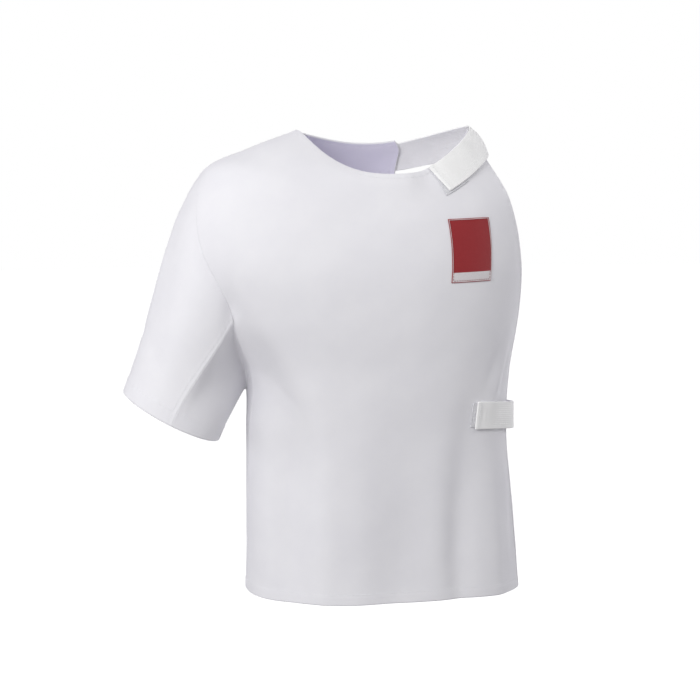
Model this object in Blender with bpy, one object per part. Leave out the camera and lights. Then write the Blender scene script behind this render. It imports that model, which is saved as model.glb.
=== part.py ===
"""Fencing underplastron for a right-armed wearer, as it stands when worn.

The garment is a half jacket: a full front, the right half of a back, one short sleeve on the wearer's
right, and two elastic straps that close the open left side. Units are metres. +Z is up, the front faces
-Y and the wearer's right arm is on -X. The origin is the middle of the neck ring, level with its right
side.

Every cloth piece is a wall on one worn form. The form is a stack of rings from the hem to the neck, and a
sleeve lofted from the armhole to the cuff. An angle of 0 degrees is the centre front, +90 the wearer's
left side and -90 the wearer's right side. A level counts the rings up from the hem.
"""

import math
from collections import namedtuple

import bmesh
import bpy
from mathutils import Vector

MM = 0.001

CLOTH_THICKNESS = 2.6 * MM
STRAP_THICKNESS = 1.6 * MM
PATCH_THICKNESS = 1.2 * MM
LABEL_THICKNESS = 0.8 * MM
SEAM_GAP = 0.3 * MM
LYING_GAP = 0.3 * MM

# The worn form, in millimetres and degrees. Heights are given at the centre front, at each side and at the
# centre back, then the half widths and depths, how square the ring is on each side, how late its height
# climbs towards each side and from the back, and where the front and back panels end.
Ring = namedtuple(
    "Ring",
    "z_front z_right z_left z_back right left front back square_right square_left"
    " climb_right climb_left climb_back left_edge front_seam back_seam back_edge",
)
RINGS = [
    Ring(-529, -530, -531, -529, 155, 167, 112, 104, 2.3, 2.3, 3, 3, 3, 76, -87, -110, -202),
    Ring(-438, -440, -440, -440, 155, 160, 107, 98, 2.3, 2.3, 3, 3, 3, 75, -86, -109, -203),
    Ring(-345, -345, -345, -345, 155, 151, 105, 93, 2.3, 2.3, 3, 3, 3, 74, -85, -108, -204),
    Ring(-275, -275, -275, -275, 158, 153, 112, 101, 2.4, 2.3, 3, 3, 3, 75, -79, -106, -202),
    Ring(-206, -214, -210, -208, 205, 165, 120, 111, 2.6, 2.2, 3, 3, 3, 74, -68, -112, -200),
    Ring(-156, -141, -138, -156, 240, 172, 122, 114, 2.5, 2.2, 3, 3, 3, 68, -68, -112, -200),
    Ring(-108, -51, -73, -97, 208, 161, 114, 106, 2.2, 2.2, 3, 3, 3, 66, -90, -90, -201),
    Ring(-77, -21, -30, -42, 152, 128, 101, 88, 2.3, 2.1, 3, 2.5, 2.5, 72, -90, -90, -205),
    Ring(-53, 0, 4, -13, 96, 104, 86, 68, 2.1, 2.1, 3.5, 2.2, 2.3, 77, -90, -90, -214),
]
ARMPIT_LEVEL = 4
SHOULDER_LEVEL = 6
NECK_LEVEL = 8

# The armhole leaves the side line by these angles: at the armpit seams, and on top of that half way up.
ARMPIT_REACH = 22.0
ARMHOLE_BULGE = 7.5
# How many levels the underarm panel's fold hangs below the armpit seams, and how round its arch is.
ARMPIT_DIP = 1.25
ARMPIT_ARCH = 0.8

# Largest folds of the worn cloth: angle and height of the middle, half width and half length in
# millimetres, sideways drift in millimetres for each millimetre up, and depth, where minus is a trough.
Fold = namedtuple("Fold", "angle height width length drift depth")
FOLDS = [
    Fold(40, -470, 18, 120, 0.06, -6.8),
    Fold(56, -495, 13, 105, 0.03, 3.2),
    Fold(70, -455, 9, 60, 0.05, -1.5),
    Fold(60, -280, 8, 32, 0.25, 2.2),
    Fold(-60, -420, 19, 130, -0.06, -5.5),
    Fold(-39, -430, 20, 140, -0.03, 7.0),
    Fold(-76, -172, 10, 34, 0.05, -3.0),
    Fold(-140, -430, 24, 110, 0.05, -4.5),
    Fold(-165, -455, 22, 95, -0.04, 4.0),
    Fold(-128, -235, 18, 50, -0.20, -3.6),
    Fold(-52, -268, 20, 65, -0.28, 5.0),
    Fold(2, -455, 28, 120, 0.05, -4.0),
]

# The cuff is a slanted oval round the arm, in millimetres: its middle, the reach from there to its inner
# side and to its front, and where on it the underarm panel's front seam arrives.
CUFF_MIDDLE = Vector((-243, -8, -322))
CUFF_INWARD = Vector((54, 0, -26.5))
CUFF_FORWARD = Vector((0, -63, -9))
CUFF_SEAM_ANGLE = 82.0
SLEEVE_FALL = Vector((-0.38, -0.02, -0.92))

# Directions in which the cloth leaves the armhole, from the armpit's front seam to the shoulder tip.
Leaving = namedtuple("Leaving", "x y z reach")
SLEEVE_STARTS = [
    Leaving(-0.54, -0.16, -0.84, 0.9),
    Leaving(-0.62, 0.02, -0.78, 0.8),
    Leaving(-0.80, 0.00, -0.60, 0.88),
]
# Between these shares of the way up the armhole the crease at its seam fades out.
CREASE_FADE = (0.22, 0.6)

# Grid steps of the walls.
BODY_STEPS = 14
ARMHOLE_STEPS = 9
SHOULDER_STEPS = 6
FRONT_COLUMNS = 34
BACK_COLUMNS = 20
UNDERARM_COLUMNS = 10
SLEEVE_STEPS = 12
NECK_STRAP_STEPS = (36, 4)
WAIST_STRAP_STEPS = (40, 2)
PATCH_STEPS = (6, 6)

# Passes that round the armpit fold, how many grid rows beside it they reach and how far they pull.
FOLD_ROUNDINGS = 3
ROUNDING_REACH = 2
ROUNDING_PULL = 0.5
# Passes that even out the seams' directions.
SEAM_EVENINGS = 12

# Steps of a level in which the form is felt out, halvings of a search on it, and where its angles wrap.
FACING_STEP = 0.02
DROP_STEP = 0.04
HALVINGS = 28
SIDEWAYS_SEARCH = 40.0
ANGLE_WRAP = 210.0
SHARP_ANGLE = 50.0

# The neck strap: angles where its upper and its lower edge end in front, how far it sinks below the neck
# ring behind, how far it bows across its width and how much the bow rises. A free stretch grows between
# the first two angles and fades between the last two.
NECK_STRAP_WIDTH = 36 * MM
NECK_STRAP_FRONT = (26.0, 33.0)
NECK_STRAP_BACK = 172.0
NECK_STRAP_SINK = 6 * MM
NECK_STRAP_SINKING = (85.0, 150.0)
NECK_STRAP_BOW = 3.5 * MM
NECK_STRAP_BOW_RISE = 0.8
NECK_STRAP_FREE = (55.0, 85.0, 115.0, 145.0)
NECK_PATCH_FRONT = (28.0, 30.5)
NECK_PATCH_BACK = 47.0
NECK_PATCH_SPAN = (8 * MM, 39 * MM)

# The waist strap: it drops a little towards the side and stands off the form where it is free.
WAIST_STRAP_WIDTH = 30 * MM
WAIST_STRAP_FRONT = 47.0
WAIST_STRAP_BACK = 172.0
WAIST_STRAP_HEIGHT = -322 * MM
WAIST_STRAP_DROP = 11 * MM
WAIST_STRAP_DROPPING = (40.0, 100.0)
WAIST_STRAP_SLACK = 6 * MM
WAIST_STRAP_FREE = (62.0, 84.0, 132.0, 156.0)
WAIST_PATCH_ANGLE = 52.0
WAIST_PATCH_SIZE = (32 * MM, 27 * MM)

# The back panel's free corners: degrees taken off at the neck and at the hem, and the levels over which.
NECK_CORNER = 8.0
NECK_CORNER_LEVELS = (NECK_LEVEL - 0.6, NECK_LEVEL + 0.25)
HEM_CORNER = 3.0
HEM_CORNER_LEVELS = (-0.08, 0.28)

LABEL_ANGLE = 37.5
LABEL_HEIGHT = -134.5 * MM
LABEL_SIZE = (49 * MM, 70 * MM)
LABEL_TURNS = (4.5, -1.0)

WHITE_CLOTH = (0.84, 0.84, 0.87)
GREY_ELASTIC = (0.68, 0.68, 0.67)
LOOP_TAPE = (0.70, 0.70, 0.72)
RED_LABEL = (0.30, 0.02, 0.03)


def mix(a, b, share):
    return a + (b - a) * share


def smooth_step(value, low, high):
    share = min(max((value - low) / (high - low), 0.0), 1.0)
    return share * share * (3 - 2 * share)


def between_rows(rows, place):
    """Reads a table at a fractional row, on a smooth curve through its rows."""
    last = len(rows) - 1
    here = min(int(place), last - 1)
    share = place - here
    picked = [rows[min(max(here + step, 0), last)] for step in (-1, 0, 1, 2)]

    def curve(before, start, end, after):
        rise = (end - before) / 2
        run = (after - start) / 2
        return (
            start
            + share * rise
            + share**2 * (3 * (end - start) - 2 * rise - run)
            + share**3 * (2 * (start - end) + rise + run)
        )

    return type(rows[0])(*(curve(*column) for column in zip(*picked)))


def fold_height(angle, radius, z):
    """How far the largest folds push the cloth out at this place, in millimetres."""
    total = 0.0
    for fold in FOLDS:
        along = z - fold.height
        across = math.radians(angle - fold.angle) * radius - fold.drift * along
        total += fold.depth * math.exp(-((across / fold.width) ** 2) - (along / fold.length) ** 2)
    return total


def torso_point(angle, level):
    """A point on the outside of the cloth round the body."""
    ring = between_rows(RINGS, level)
    turn = math.radians(angle)
    side, ahead = math.sin(turn), math.cos(turn)
    width, square = (ring.right, ring.square_right) if side < 0 else (ring.left, ring.square_left)
    depth, z_middle = (ring.front, ring.z_front) if ahead > 0 else (ring.back, ring.z_back)
    z_side = ring.z_right if side < 0 else ring.z_left
    radius = ((abs(side) / width) ** square + (abs(ahead) / depth) ** square) ** (-1 / square)
    climb = ring.climb_right if side < 0 else ring.climb_left
    climb = climb if ahead > 0 else ring.climb_back
    z = mix(z_middle, z_side, abs(side) ** climb)
    wrapped = (angle + ANGLE_WRAP) % 360 - ANGLE_WRAP
    radius += fold_height(wrapped, radius, z)
    return Vector((radius * side, -radius * ahead, z)) * MM


def torso_at_height(angle, z):
    """The torso point at this angle and height, found by halving the levels."""
    low, high = 0.0, float(NECK_LEVEL)
    for _ in range(HALVINGS):
        middle = (low + high) / 2
        if torso_point(angle, middle).z < z:
            low = middle
        else:
            high = middle
    return torso_point(angle, low)


def armhole_reach(level):
    """Degrees between the side line and the armhole's front or back edge, at a level beside the armhole."""
    middle = (ARMPIT_LEVEL + SHOULDER_LEVEL) / 2
    below = min(max(middle - level, -1.0), 1.0)
    bulge = 1 - below * below
    if below < 0:
        bulge = math.sqrt(bulge)
    return ARMPIT_REACH * (1 + below) / 2 + ARMHOLE_BULGE * bulge


def armhole_level(share):
    """Level beside the armhole, from the armpit seams at share 0 to the shoulder tip at 1."""
    return mix(ARMPIT_LEVEL, SHOULDER_LEVEL, math.sin(math.pi / 2 * share))


def front_right_edge(level):
    if level < ARMPIT_LEVEL:
        return between_rows(RINGS, level).front_seam
    return -90 + (armhole_reach(level) if level < SHOULDER_LEVEL else 0)


def back_right_edge(level):
    if level < ARMPIT_LEVEL:
        return between_rows(RINGS, level).back_seam
    return -90 - (armhole_reach(level) if level < SHOULDER_LEVEL else 0)


def body_levels():
    """Levels of the grid rows: up to the armpit, up beside the armhole, and over the shoulder."""
    low = [ARMPIT_LEVEL * i / BODY_STEPS for i in range(BODY_STEPS)]
    beside = [armhole_level(i / ARMHOLE_STEPS) for i in range(ARMHOLE_STEPS)]
    top = [mix(SHOULDER_LEVEL, NECK_LEVEL, i / SHOULDER_STEPS) for i in range(SHOULDER_STEPS + 1)]
    return low + beside + top


def cuff_point(angle):
    """A point on the cuff's edge. 0 degrees is its outer side, 90 its front and 180 its inner side."""
    turn = math.radians(angle)
    return (CUFF_MIDDLE - CUFF_INWARD * math.cos(turn) + CUFF_FORWARD * math.sin(turn)) * MM


def armhole_spot(around):
    """Angle and level of a place on the armhole. around is 0 at the armpit's front seam, 0.5 at the
    shoulder tip and 1 at the armpit's back seam."""
    level = armhole_level(min(around, 1 - around) * 2)
    reach = armhole_reach(level)
    return -90 + (reach if around < 0.5 else -reach), level


def torso_facing(angle, level):
    """The form's outward direction at a place."""
    sideways = torso_point(angle + 1, level) - torso_point(angle - 1, level)
    upward = torso_point(angle, level + FACING_STEP) - torso_point(angle, level - FACING_STEP)
    return sideways.cross(upward).normalized()


def sleeve_start(around):
    """Direction and reach of the cloth where it leaves the armhole. It creases at the armpit and flows
    on from the chest and the back higher up."""
    half = min(around, 1 - around) * 2
    leaving = between_rows(SLEEVE_STARTS, half * 2)
    direction = Vector((leaving.x, leaving.y if around < 0.5 else -leaving.y, leaving.z))
    angle, level = armhole_spot(around)
    facing = torso_facing(angle, level)
    flow = smooth_step(half, *CREASE_FADE)
    direction -= facing * direction.dot(facing) * flow
    return direction.normalized() * leaving.reach


def loft(start, leaving, end, along):
    """A point on the smooth run from an armhole point to a cuff point."""
    reach = (end - start).length
    first = leaving * reach
    last = SLEEVE_FALL.normalized() * reach
    return (
        start * (1 - 3 * along**2 + 2 * along**3)
        + first * (along - 2 * along**2 + along**3)
        + end * (3 * along**2 - 2 * along**3)
        + last * (along**3 - along**2)
    )


def sleeve_point(around, along):
    """A point on the upper sleeve, from the armhole at along 0 to the cuff at 1."""
    start = torso_point(*armhole_spot(around))
    end = cuff_point(mix(CUFF_SEAM_ANGLE, -CUFF_SEAM_ANGLE, around))
    return loft(start, sleeve_start(around), end, along)


def armpit_level(across):
    """Level of the underarm panel's fold. across is 0 at the front seam and 1 at the back seam."""
    return ARMPIT_LEVEL - ARMPIT_DIP * (4 * across * (1 - across)) ** ARMPIT_ARCH


def side_point(across, share):
    """A point on the underarm panel's body part, from the hem at share 0 to the armpit fold at 1."""
    level = armpit_level(across) * share
    return torso_point(mix(front_right_edge(level), back_right_edge(level), across), level)


def under_sleeve_point(across, along):
    """A point on the underarm panel's sleeve part, from the armpit fold at along 0 to the cuff at 1."""
    end = cuff_point(mix(CUFF_SEAM_ANGLE, 360 - CUFF_SEAM_ANGLE, across))
    start = side_point(across, 1.0)
    middle_share = math.sin(math.pi * across)
    seam_leaving = sleeve_start(0.0 if across < 0.5 else 1.0)
    straight = (end - start).normalized() * seam_leaving.length
    return loft(start, seam_leaving.lerp(straight, middle_share), end, along)


def underarm_column(across):
    """One line of the underarm panel from the hem to the cuff, rounded at the armpit fold."""
    body = [side_point(across, i / BODY_STEPS) for i in range(BODY_STEPS)]
    arm = [under_sleeve_point(across, i / SLEEVE_STEPS) for i in range(SLEEVE_STEPS + 1)]
    line = body + arm
    weight = ROUNDING_PULL * math.sin(math.pi * across)
    for _ in range(FOLD_ROUNDINGS):
        for i in range(BODY_STEPS - ROUNDING_REACH, BODY_STEPS + ROUNDING_REACH + 1):
            line[i] = line[i].lerp((line[i - 1] + line[i + 1]) / 2, weight)
    return line


def columns_to_rows(columns):
    return [list(row) for row in zip(*columns)]


def front_grid():
    rows = []
    for level in body_levels():
        left, right = between_rows(RINGS, level).left_edge, front_right_edge(level)
        angles = [mix(left, right, i / FRONT_COLUMNS) for i in range(FRONT_COLUMNS + 1)]
        rows.append([torso_point(angle, level) for angle in angles])
    return rows


def back_edge(level):
    """The back panel's free edge, past the centre back, with its corners rounded off."""
    edge = between_rows(RINGS, level).back_edge
    neck_corner = smooth_step(level, *NECK_CORNER_LEVELS)
    hem_corner = 1 - smooth_step(level, *HEM_CORNER_LEVELS)
    return edge + NECK_CORNER * neck_corner + HEM_CORNER * hem_corner


def back_grid():
    rows = []
    for level in body_levels():
        right, left = back_right_edge(level), back_edge(level)
        angles = [mix(right, left, i / BACK_COLUMNS) for i in range(BACK_COLUMNS + 1)]
        rows.append([torso_point(angle, level) for angle in angles])
    return rows


def sleeve_grid():
    columns = 2 * ARMHOLE_STEPS
    return [
        [sleeve_point(i / columns, j / SLEEVE_STEPS) for i in range(columns + 1)]
        for j in range(SLEEVE_STEPS + 1)
    ]


def underarm_grid():
    return columns_to_rows([underarm_column(i / UNDERARM_COLUMNS) for i in range(UNDERARM_COLUMNS + 1)])


def grid_normals(rows):
    """Normals of a grid's points, from the points beside, above and below them."""
    normals = []
    for j, row in enumerate(rows):
        below, above = rows[max(j - 1, 0)], rows[min(j + 1, len(rows) - 1)]
        normals.append([
            (row[min(i + 1, len(row) - 1)] - row[max(i - 1, 0)]).cross(above[i] - below[i]).normalized()
            for i in range(len(row))
        ])
    return normals


def outward(rows, outside):
    """The grid's normals, turned to the side on which the point outside lies from the grid's middle."""
    normals = grid_normals(rows)
    j, i = len(rows) // 2, len(rows[0]) // 2
    if normals[j][i].dot(outside - rows[j][i]) < 0:
        normals = [[-normal for normal in row] for row in normals]
    return normals


def point_key(point):
    return tuple(round(value / (0.01 * MM)) for value in point)


def seam_directions(panels):
    """One direction for each point that several panels share, evened out along the seams."""
    total, users = {}, {}
    for name, (rows, normals) in panels.items():
        for row, facing in zip(rows, normals):
            for point, normal in zip(row, facing):
                key = point_key(point)
                total[key] = total.get(key, Vector()) + normal
                users.setdefault(key, set()).add(name)
    seam = {key: total[key].normalized() for key, names in users.items() if len(names) > 1}
    beside = {key: set() for key in seam}
    for rows, _ in panels.values():
        for line in rows + columns_to_rows(rows):
            keys = [point_key(point) for point in line]
            for key, following in zip(keys, keys[1:]):
                if key in seam and following in seam:
                    beside[key].add(following)
                    beside[following].add(key)
    for _ in range(SEAM_EVENINGS):
        seam = {
            key: sum((seam[other] for other in beside[key]), 2 * direction).normalized()
            for key, direction in seam.items()
        }
    return seam


def share_seam_normals(panels):
    """Gives the points of each seam one normal on both its sides, so that the walls meet in a mitre."""
    seam = seam_directions(panels)
    for name, (rows, normals) in panels.items():
        panels[name] = (rows, [
            [seam.get(point_key(point), normal) for point, normal in zip(row, facing)]
            for row, facing in zip(rows, normals)
        ])


def pull_in(line, inner_line, amount):
    """Moves a line of points towards the next line of its grid, square to the line itself."""
    moved = []
    for i, (point, inner) in enumerate(zip(line, inner_line)):
        along = (line[min(i + 1, len(line) - 1)] - line[max(i - 1, 0)]).normalized()
        inward = inner - point
        inward -= along * inward.dot(along)
        moved.append(point + inward.normalized() * amount)
    return moved


def open_seams(rows, first_column=False, last_column=False, first_row=False):
    """Takes half the seam gap off each side of a grid that is sewn to another panel."""
    rows = [list(row) for row in rows]
    half = SEAM_GAP / 2
    if first_row:
        rows[0] = pull_in(rows[0], rows[1], half)
    if first_column:
        columns = columns_to_rows(rows)
        columns[0] = pull_in(columns[0], columns[1], half)
        rows = columns_to_rows(columns)
    if last_column:
        columns = columns_to_rows(rows)
        columns[-1] = pull_in(columns[-1], columns[-2], half)
        rows = columns_to_rows(columns)
    return rows


def make_material(name, colour, roughness):
    material = bpy.data.materials.new(name)
    material.use_nodes = True
    shader = material.node_tree.nodes["Principled BSDF"]
    shader.inputs["Base Color"].default_value = (*colour, 1.0)
    shader.inputs["Roughness"].default_value = roughness
    shader.inputs["Metallic"].default_value = 0.0
    return material


def add_wall(collection, name, rows, normals, low, high, material):
    """A closed wall between two offsets of a grid: a flat grid and its extruded copy, moved into place."""
    mesh = bpy.data.meshes.new(name)
    body = bmesh.new()
    last_row, last_column = len(rows) - 1, len(rows[0]) - 1
    bmesh.ops.create_grid(body, x_segments=last_column, y_segments=last_row, size=1.0)
    sheet = body.verts[:]
    grown = bmesh.ops.extrude_face_region(body, geom=body.faces[:], use_keep_orig=True)
    copies = [item for item in grown["geom"] if isinstance(item, bmesh.types.BMVert)]
    for vertices, offset in ((sheet, low), (copies, high)):
        for vertex in vertices:
            i = round((vertex.co.x + 1) / 2 * last_column)
            j = round((vertex.co.y + 1) / 2 * last_row)
            vertex.co = rows[j][i] + normals[j][i] * offset
    bmesh.ops.recalc_face_normals(body, faces=body.faces[:])
    body.to_mesh(mesh)
    body.free()
    mesh.shade_smooth()
    mesh.set_sharp_from_angle(angle=math.radians(SHARP_ANGLE))
    mesh.materials.append(material)
    piece = bpy.data.objects.new(name, mesh)
    collection.objects.link(piece)
    return piece


def strap_drop(angle, distance):
    """The point reached by going this far down the form from the neck ring, at one angle."""
    level = float(NECK_LEVEL)
    here = torso_point(angle, level)
    while True:
        below = torso_point(angle, level - DROP_STEP)
        reach = (below - here).length
        if reach >= distance:
            return here.lerp(below, distance / reach)
        distance -= reach
        level -= DROP_STEP
        here = below


def free_stretch(angle, stretch):
    """1 where a strap is free of the panels and 0 where it lies on them."""
    return smooth_step(angle, stretch[0], stretch[1]) * (1 - smooth_step(angle, stretch[2], stretch[3]))


def neck_band_grid(front, back, span, columns, steps):
    """A band along the neck ring, between two distances down the form. front gives the angles at which its
    end starts on its upper and its lower edge."""
    rows = []
    for j in range(steps + 1):
        share = j / steps
        row = []
        for i in range(columns + 1):
            angle = mix(mix(front[0], front[1], share), back, i / columns)
            sunk = NECK_STRAP_SINK * smooth_step(angle, *NECK_STRAP_SINKING)
            row.append(strap_drop(angle, sunk + mix(span[0], span[1], share)))
        rows.append(row)
    return rows


def neck_strap_grid():
    """Elastic band round the neck's left side, bowed across its width where it hangs free."""
    columns, steps = NECK_STRAP_STEPS
    rows = neck_band_grid(NECK_STRAP_FRONT, NECK_STRAP_BACK, (0.0, NECK_STRAP_WIDTH), columns, steps)
    for j, row in enumerate(rows):
        bow = NECK_STRAP_BOW * math.sin(math.pi * j / steps)
        for i in range(columns + 1):
            angle = mix(NECK_STRAP_FRONT[0], NECK_STRAP_BACK, i / columns)
            turn = math.radians(angle)
            outward_up = Vector((math.sin(turn), -math.cos(turn), NECK_STRAP_BOW_RISE)).normalized()
            row[i] += outward_up * bow * free_stretch(angle, NECK_STRAP_FREE)
    return rows


def waist_strap_grid():
    """Elastic band round the left side at the waist, a little slack between the two panels."""
    columns, steps = WAIST_STRAP_STEPS
    rows = []
    for j in range(steps + 1):
        row = []
        for i in range(columns + 1):
            angle = mix(WAIST_STRAP_FRONT, WAIST_STRAP_BACK, i / columns)
            z = WAIST_STRAP_HEIGHT - WAIST_STRAP_DROP * smooth_step(angle, *WAIST_STRAP_DROPPING)
            point = torso_at_height(angle, z + mix(-WAIST_STRAP_WIDTH, WAIST_STRAP_WIDTH, j / steps) / 2)
            slack = WAIST_STRAP_SLACK * free_stretch(angle, WAIST_STRAP_FREE)
            row.append(point + Vector((point.x, point.y, 0)).normalized() * slack)
        rows.append(row)
    return rows


def torso_beside(angle, across, z):
    """The torso point at this height that lies this far sideways of the given angle, seen square on."""
    turn = math.radians(angle)
    sideways = Vector((math.cos(turn), math.sin(turn), 0))
    low, high = angle - SIDEWAYS_SEARCH, angle + SIDEWAYS_SEARCH
    for _ in range(HALVINGS):
        middle = (low + high) / 2
        if torso_at_height(middle, z).dot(sideways) < across:
            low = middle
        else:
            high = middle
    return torso_at_height(low, z)


def patch_grid(angle, height, size, turns=(0.0, 0.0)):
    """A flat-cut patch laid on the front. turns tilts its level edges and its upright edges, in degrees."""
    level_turn, upright_turn = (math.radians(turn) for turn in turns)
    columns, steps = PATCH_STEPS
    rows = []
    for j in range(steps + 1):
        y = mix(-size[1] / 2, size[1] / 2, j / steps)
        row = []
        for i in range(columns + 1):
            x = mix(-size[0] / 2, size[0] / 2, i / columns)
            across = x * math.cos(level_turn) - y * math.sin(upright_turn)
            upward = x * math.sin(level_turn) + y * math.cos(upright_turn)
            row.append(torso_beside(angle, across, height + upward))
        rows.append(row)
    return rows


def make_panels(collection, cloth):
    """The four sewn panels, which share one form and meet along mitred seams."""
    ahead, behind, out = Vector((0, -5, -0.3)), Vector((-1, 5, -0.3)), Vector((-5, 0, 3))
    grids = {
        "front_panel": (front_grid(), ahead),
        "back_panel": (back_grid(), behind),
        "sleeve": (sleeve_grid(), out),
        "underarm_panel": (underarm_grid(), Vector((-0.2, 0, -5))),
    }
    panels = {name: (rows, outward(rows, outside)) for name, (rows, outside) in grids.items()}
    share_seam_normals(panels)
    seams = {
        "front_panel": {"last_column": True},
        "back_panel": {"first_column": True},
        "sleeve": {"first_row": True, "first_column": True, "last_column": True},
        "underarm_panel": {"first_column": True, "last_column": True},
    }
    for name, (rows, normals) in panels.items():
        add_wall(collection, name, open_seams(rows, **seams[name]), normals, -CLOTH_THICKNESS, 0.0, cloth)


def make_trims(collection, elastic, tape, label):
    """What lies on the panels: the two straps, the loop patches under their ends and the label."""
    ahead, left = Vector((0.5, -5, -0.3)), Vector((5, 0, -0.3))
    over_patch = 2 * LYING_GAP + PATCH_THICKNESS
    neck_patch = neck_band_grid(NECK_PATCH_FRONT, NECK_PATCH_BACK, NECK_PATCH_SPAN, *PATCH_STEPS)
    waist_patch = patch_grid(WAIST_PATCH_ANGLE, WAIST_STRAP_HEIGHT, WAIST_PATCH_SIZE)
    chest_label = patch_grid(LABEL_ANGLE, LABEL_HEIGHT, LABEL_SIZE, LABEL_TURNS)
    laid = [
        ("neck_strap", neck_strap_grid(), left, over_patch, STRAP_THICKNESS, elastic),
        ("waist_strap", waist_strap_grid(), left, over_patch, STRAP_THICKNESS, elastic),
        ("neck_loop_patch", neck_patch, ahead, LYING_GAP, PATCH_THICKNESS, tape),
        ("waist_loop_patch", waist_patch, ahead, LYING_GAP, PATCH_THICKNESS, tape),
        ("chest_label", chest_label, ahead, LYING_GAP, LABEL_THICKNESS, label),
    ]
    for name, rows, outside, gap, thickness, material in laid:
        add_wall(collection, name, rows, outward(rows, outside), gap, gap + thickness, material)


def clear_scene():
    for thing in list(bpy.data.objects):
        bpy.data.objects.remove(thing, do_unlink=True)


def main():
    clear_scene()
    collection = bpy.data.collections.new("fencing_underplastron")
    bpy.context.scene.collection.children.link(collection)
    cloth = make_material("white_cloth", WHITE_CLOTH, 0.75)
    elastic = make_material("grey_elastic", GREY_ELASTIC, 0.8)
    tape = make_material("loop_tape", LOOP_TAPE, 0.95)
    label = make_material("red_label", RED_LABEL, 0.6)
    make_panels(collection, cloth)
    make_trims(collection, elastic, tape, label)


main()
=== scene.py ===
"""Looks of the fencing underplastron: the sewn cloth shell, its elastics, patches, label and stitching.

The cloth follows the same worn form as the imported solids. An angle of 0 degrees is the centre front, +90
the wearer's left side and -90 the wearer's right side. A level counts the rings up from the hem. Form
tables are in millimetres and degrees, everything else is in metres.
"""

import math

import bpy
import numpy as np
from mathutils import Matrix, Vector


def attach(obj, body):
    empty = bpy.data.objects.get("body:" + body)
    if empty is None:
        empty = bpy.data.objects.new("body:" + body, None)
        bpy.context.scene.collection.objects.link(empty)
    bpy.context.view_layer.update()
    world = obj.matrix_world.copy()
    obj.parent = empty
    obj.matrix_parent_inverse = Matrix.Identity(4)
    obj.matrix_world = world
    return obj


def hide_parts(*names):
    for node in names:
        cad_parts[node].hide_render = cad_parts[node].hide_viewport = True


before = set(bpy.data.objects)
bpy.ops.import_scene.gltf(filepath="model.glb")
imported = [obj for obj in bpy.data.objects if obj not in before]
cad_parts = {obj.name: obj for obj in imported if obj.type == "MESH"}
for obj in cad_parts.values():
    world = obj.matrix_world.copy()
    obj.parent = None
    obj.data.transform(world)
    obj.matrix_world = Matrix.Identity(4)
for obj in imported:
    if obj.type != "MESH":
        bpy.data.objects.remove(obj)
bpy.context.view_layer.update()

MM = 0.001

CLOTH_THICKNESS = 2.6 * MM
STRAP_THICKNESS = 1.6 * MM
PATCH_THICKNESS = 1.2 * MM
LABEL_THICKNESS = 0.8 * MM
LYING_GAP = 0.3 * MM

# The worn form. Heights are given at the centre front, at each side and at the centre back, then the half
# widths and depths, how square the ring is on each side, how late its height climbs towards each side and
# from the back, and where the front and back panels end.
RING_FIELDS = (
    "z_front z_right z_left z_back right left front back square_right square_left"
    " climb_right climb_left climb_back left_edge front_seam back_seam back_edge"
).split()
RINGS = np.array([
    (-529, -530, -531, -529, 155, 167, 112, 104, 2.3, 2.3, 3, 3, 3, 76, -87, -110, -202),
    (-438, -440, -440, -440, 155, 160, 107, 98, 2.3, 2.3, 3, 3, 3, 75, -86, -109, -203),
    (-345, -345, -345, -345, 155, 151, 105, 93, 2.3, 2.3, 3, 3, 3, 74, -85, -108, -204),
    (-275, -275, -275, -275, 158, 153, 112, 101, 2.4, 2.3, 3, 3, 3, 75, -79, -106, -202),
    (-206, -214, -210, -208, 205, 165, 120, 111, 2.6, 2.2, 3, 3, 3, 74, -68, -112, -200),
    (-156, -141, -138, -156, 240, 172, 122, 114, 2.5, 2.2, 3, 3, 3, 68, -68, -112, -200),
    (-108, -51, -73, -97, 208, 161, 114, 106, 2.2, 2.2, 3, 3, 3, 66, -90, -90, -201),
    (-77, -21, -30, -42, 152, 128, 101, 88, 2.3, 2.1, 3, 2.5, 2.5, 72, -90, -90, -205),
    (-53, 0, 4, -13, 96, 104, 86, 68, 2.1, 2.1, 3.5, 2.2, 2.3, 77, -90, -90, -214),
], float)
COLUMN = {name: i for i, name in enumerate(RING_FIELDS)}
ARMPIT_LEVEL = 4
SHOULDER_LEVEL = 6
NECK_LEVEL = 8
ARMPIT_REACH = 22.0
ARMHOLE_BULGE = 7.5
ARMPIT_DIP = 1.25
ARMPIT_ARCH = 0.8
ARMPIT_SMOOTHED = (20, 28)
ARMPIT_ROUNDS = 220
SAME_POINT = 0.002 * MM
SEAM_ROUNDS = 160
LEVEL_HALVINGS = 28
ANGLE_HALVINGS = 24

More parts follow.
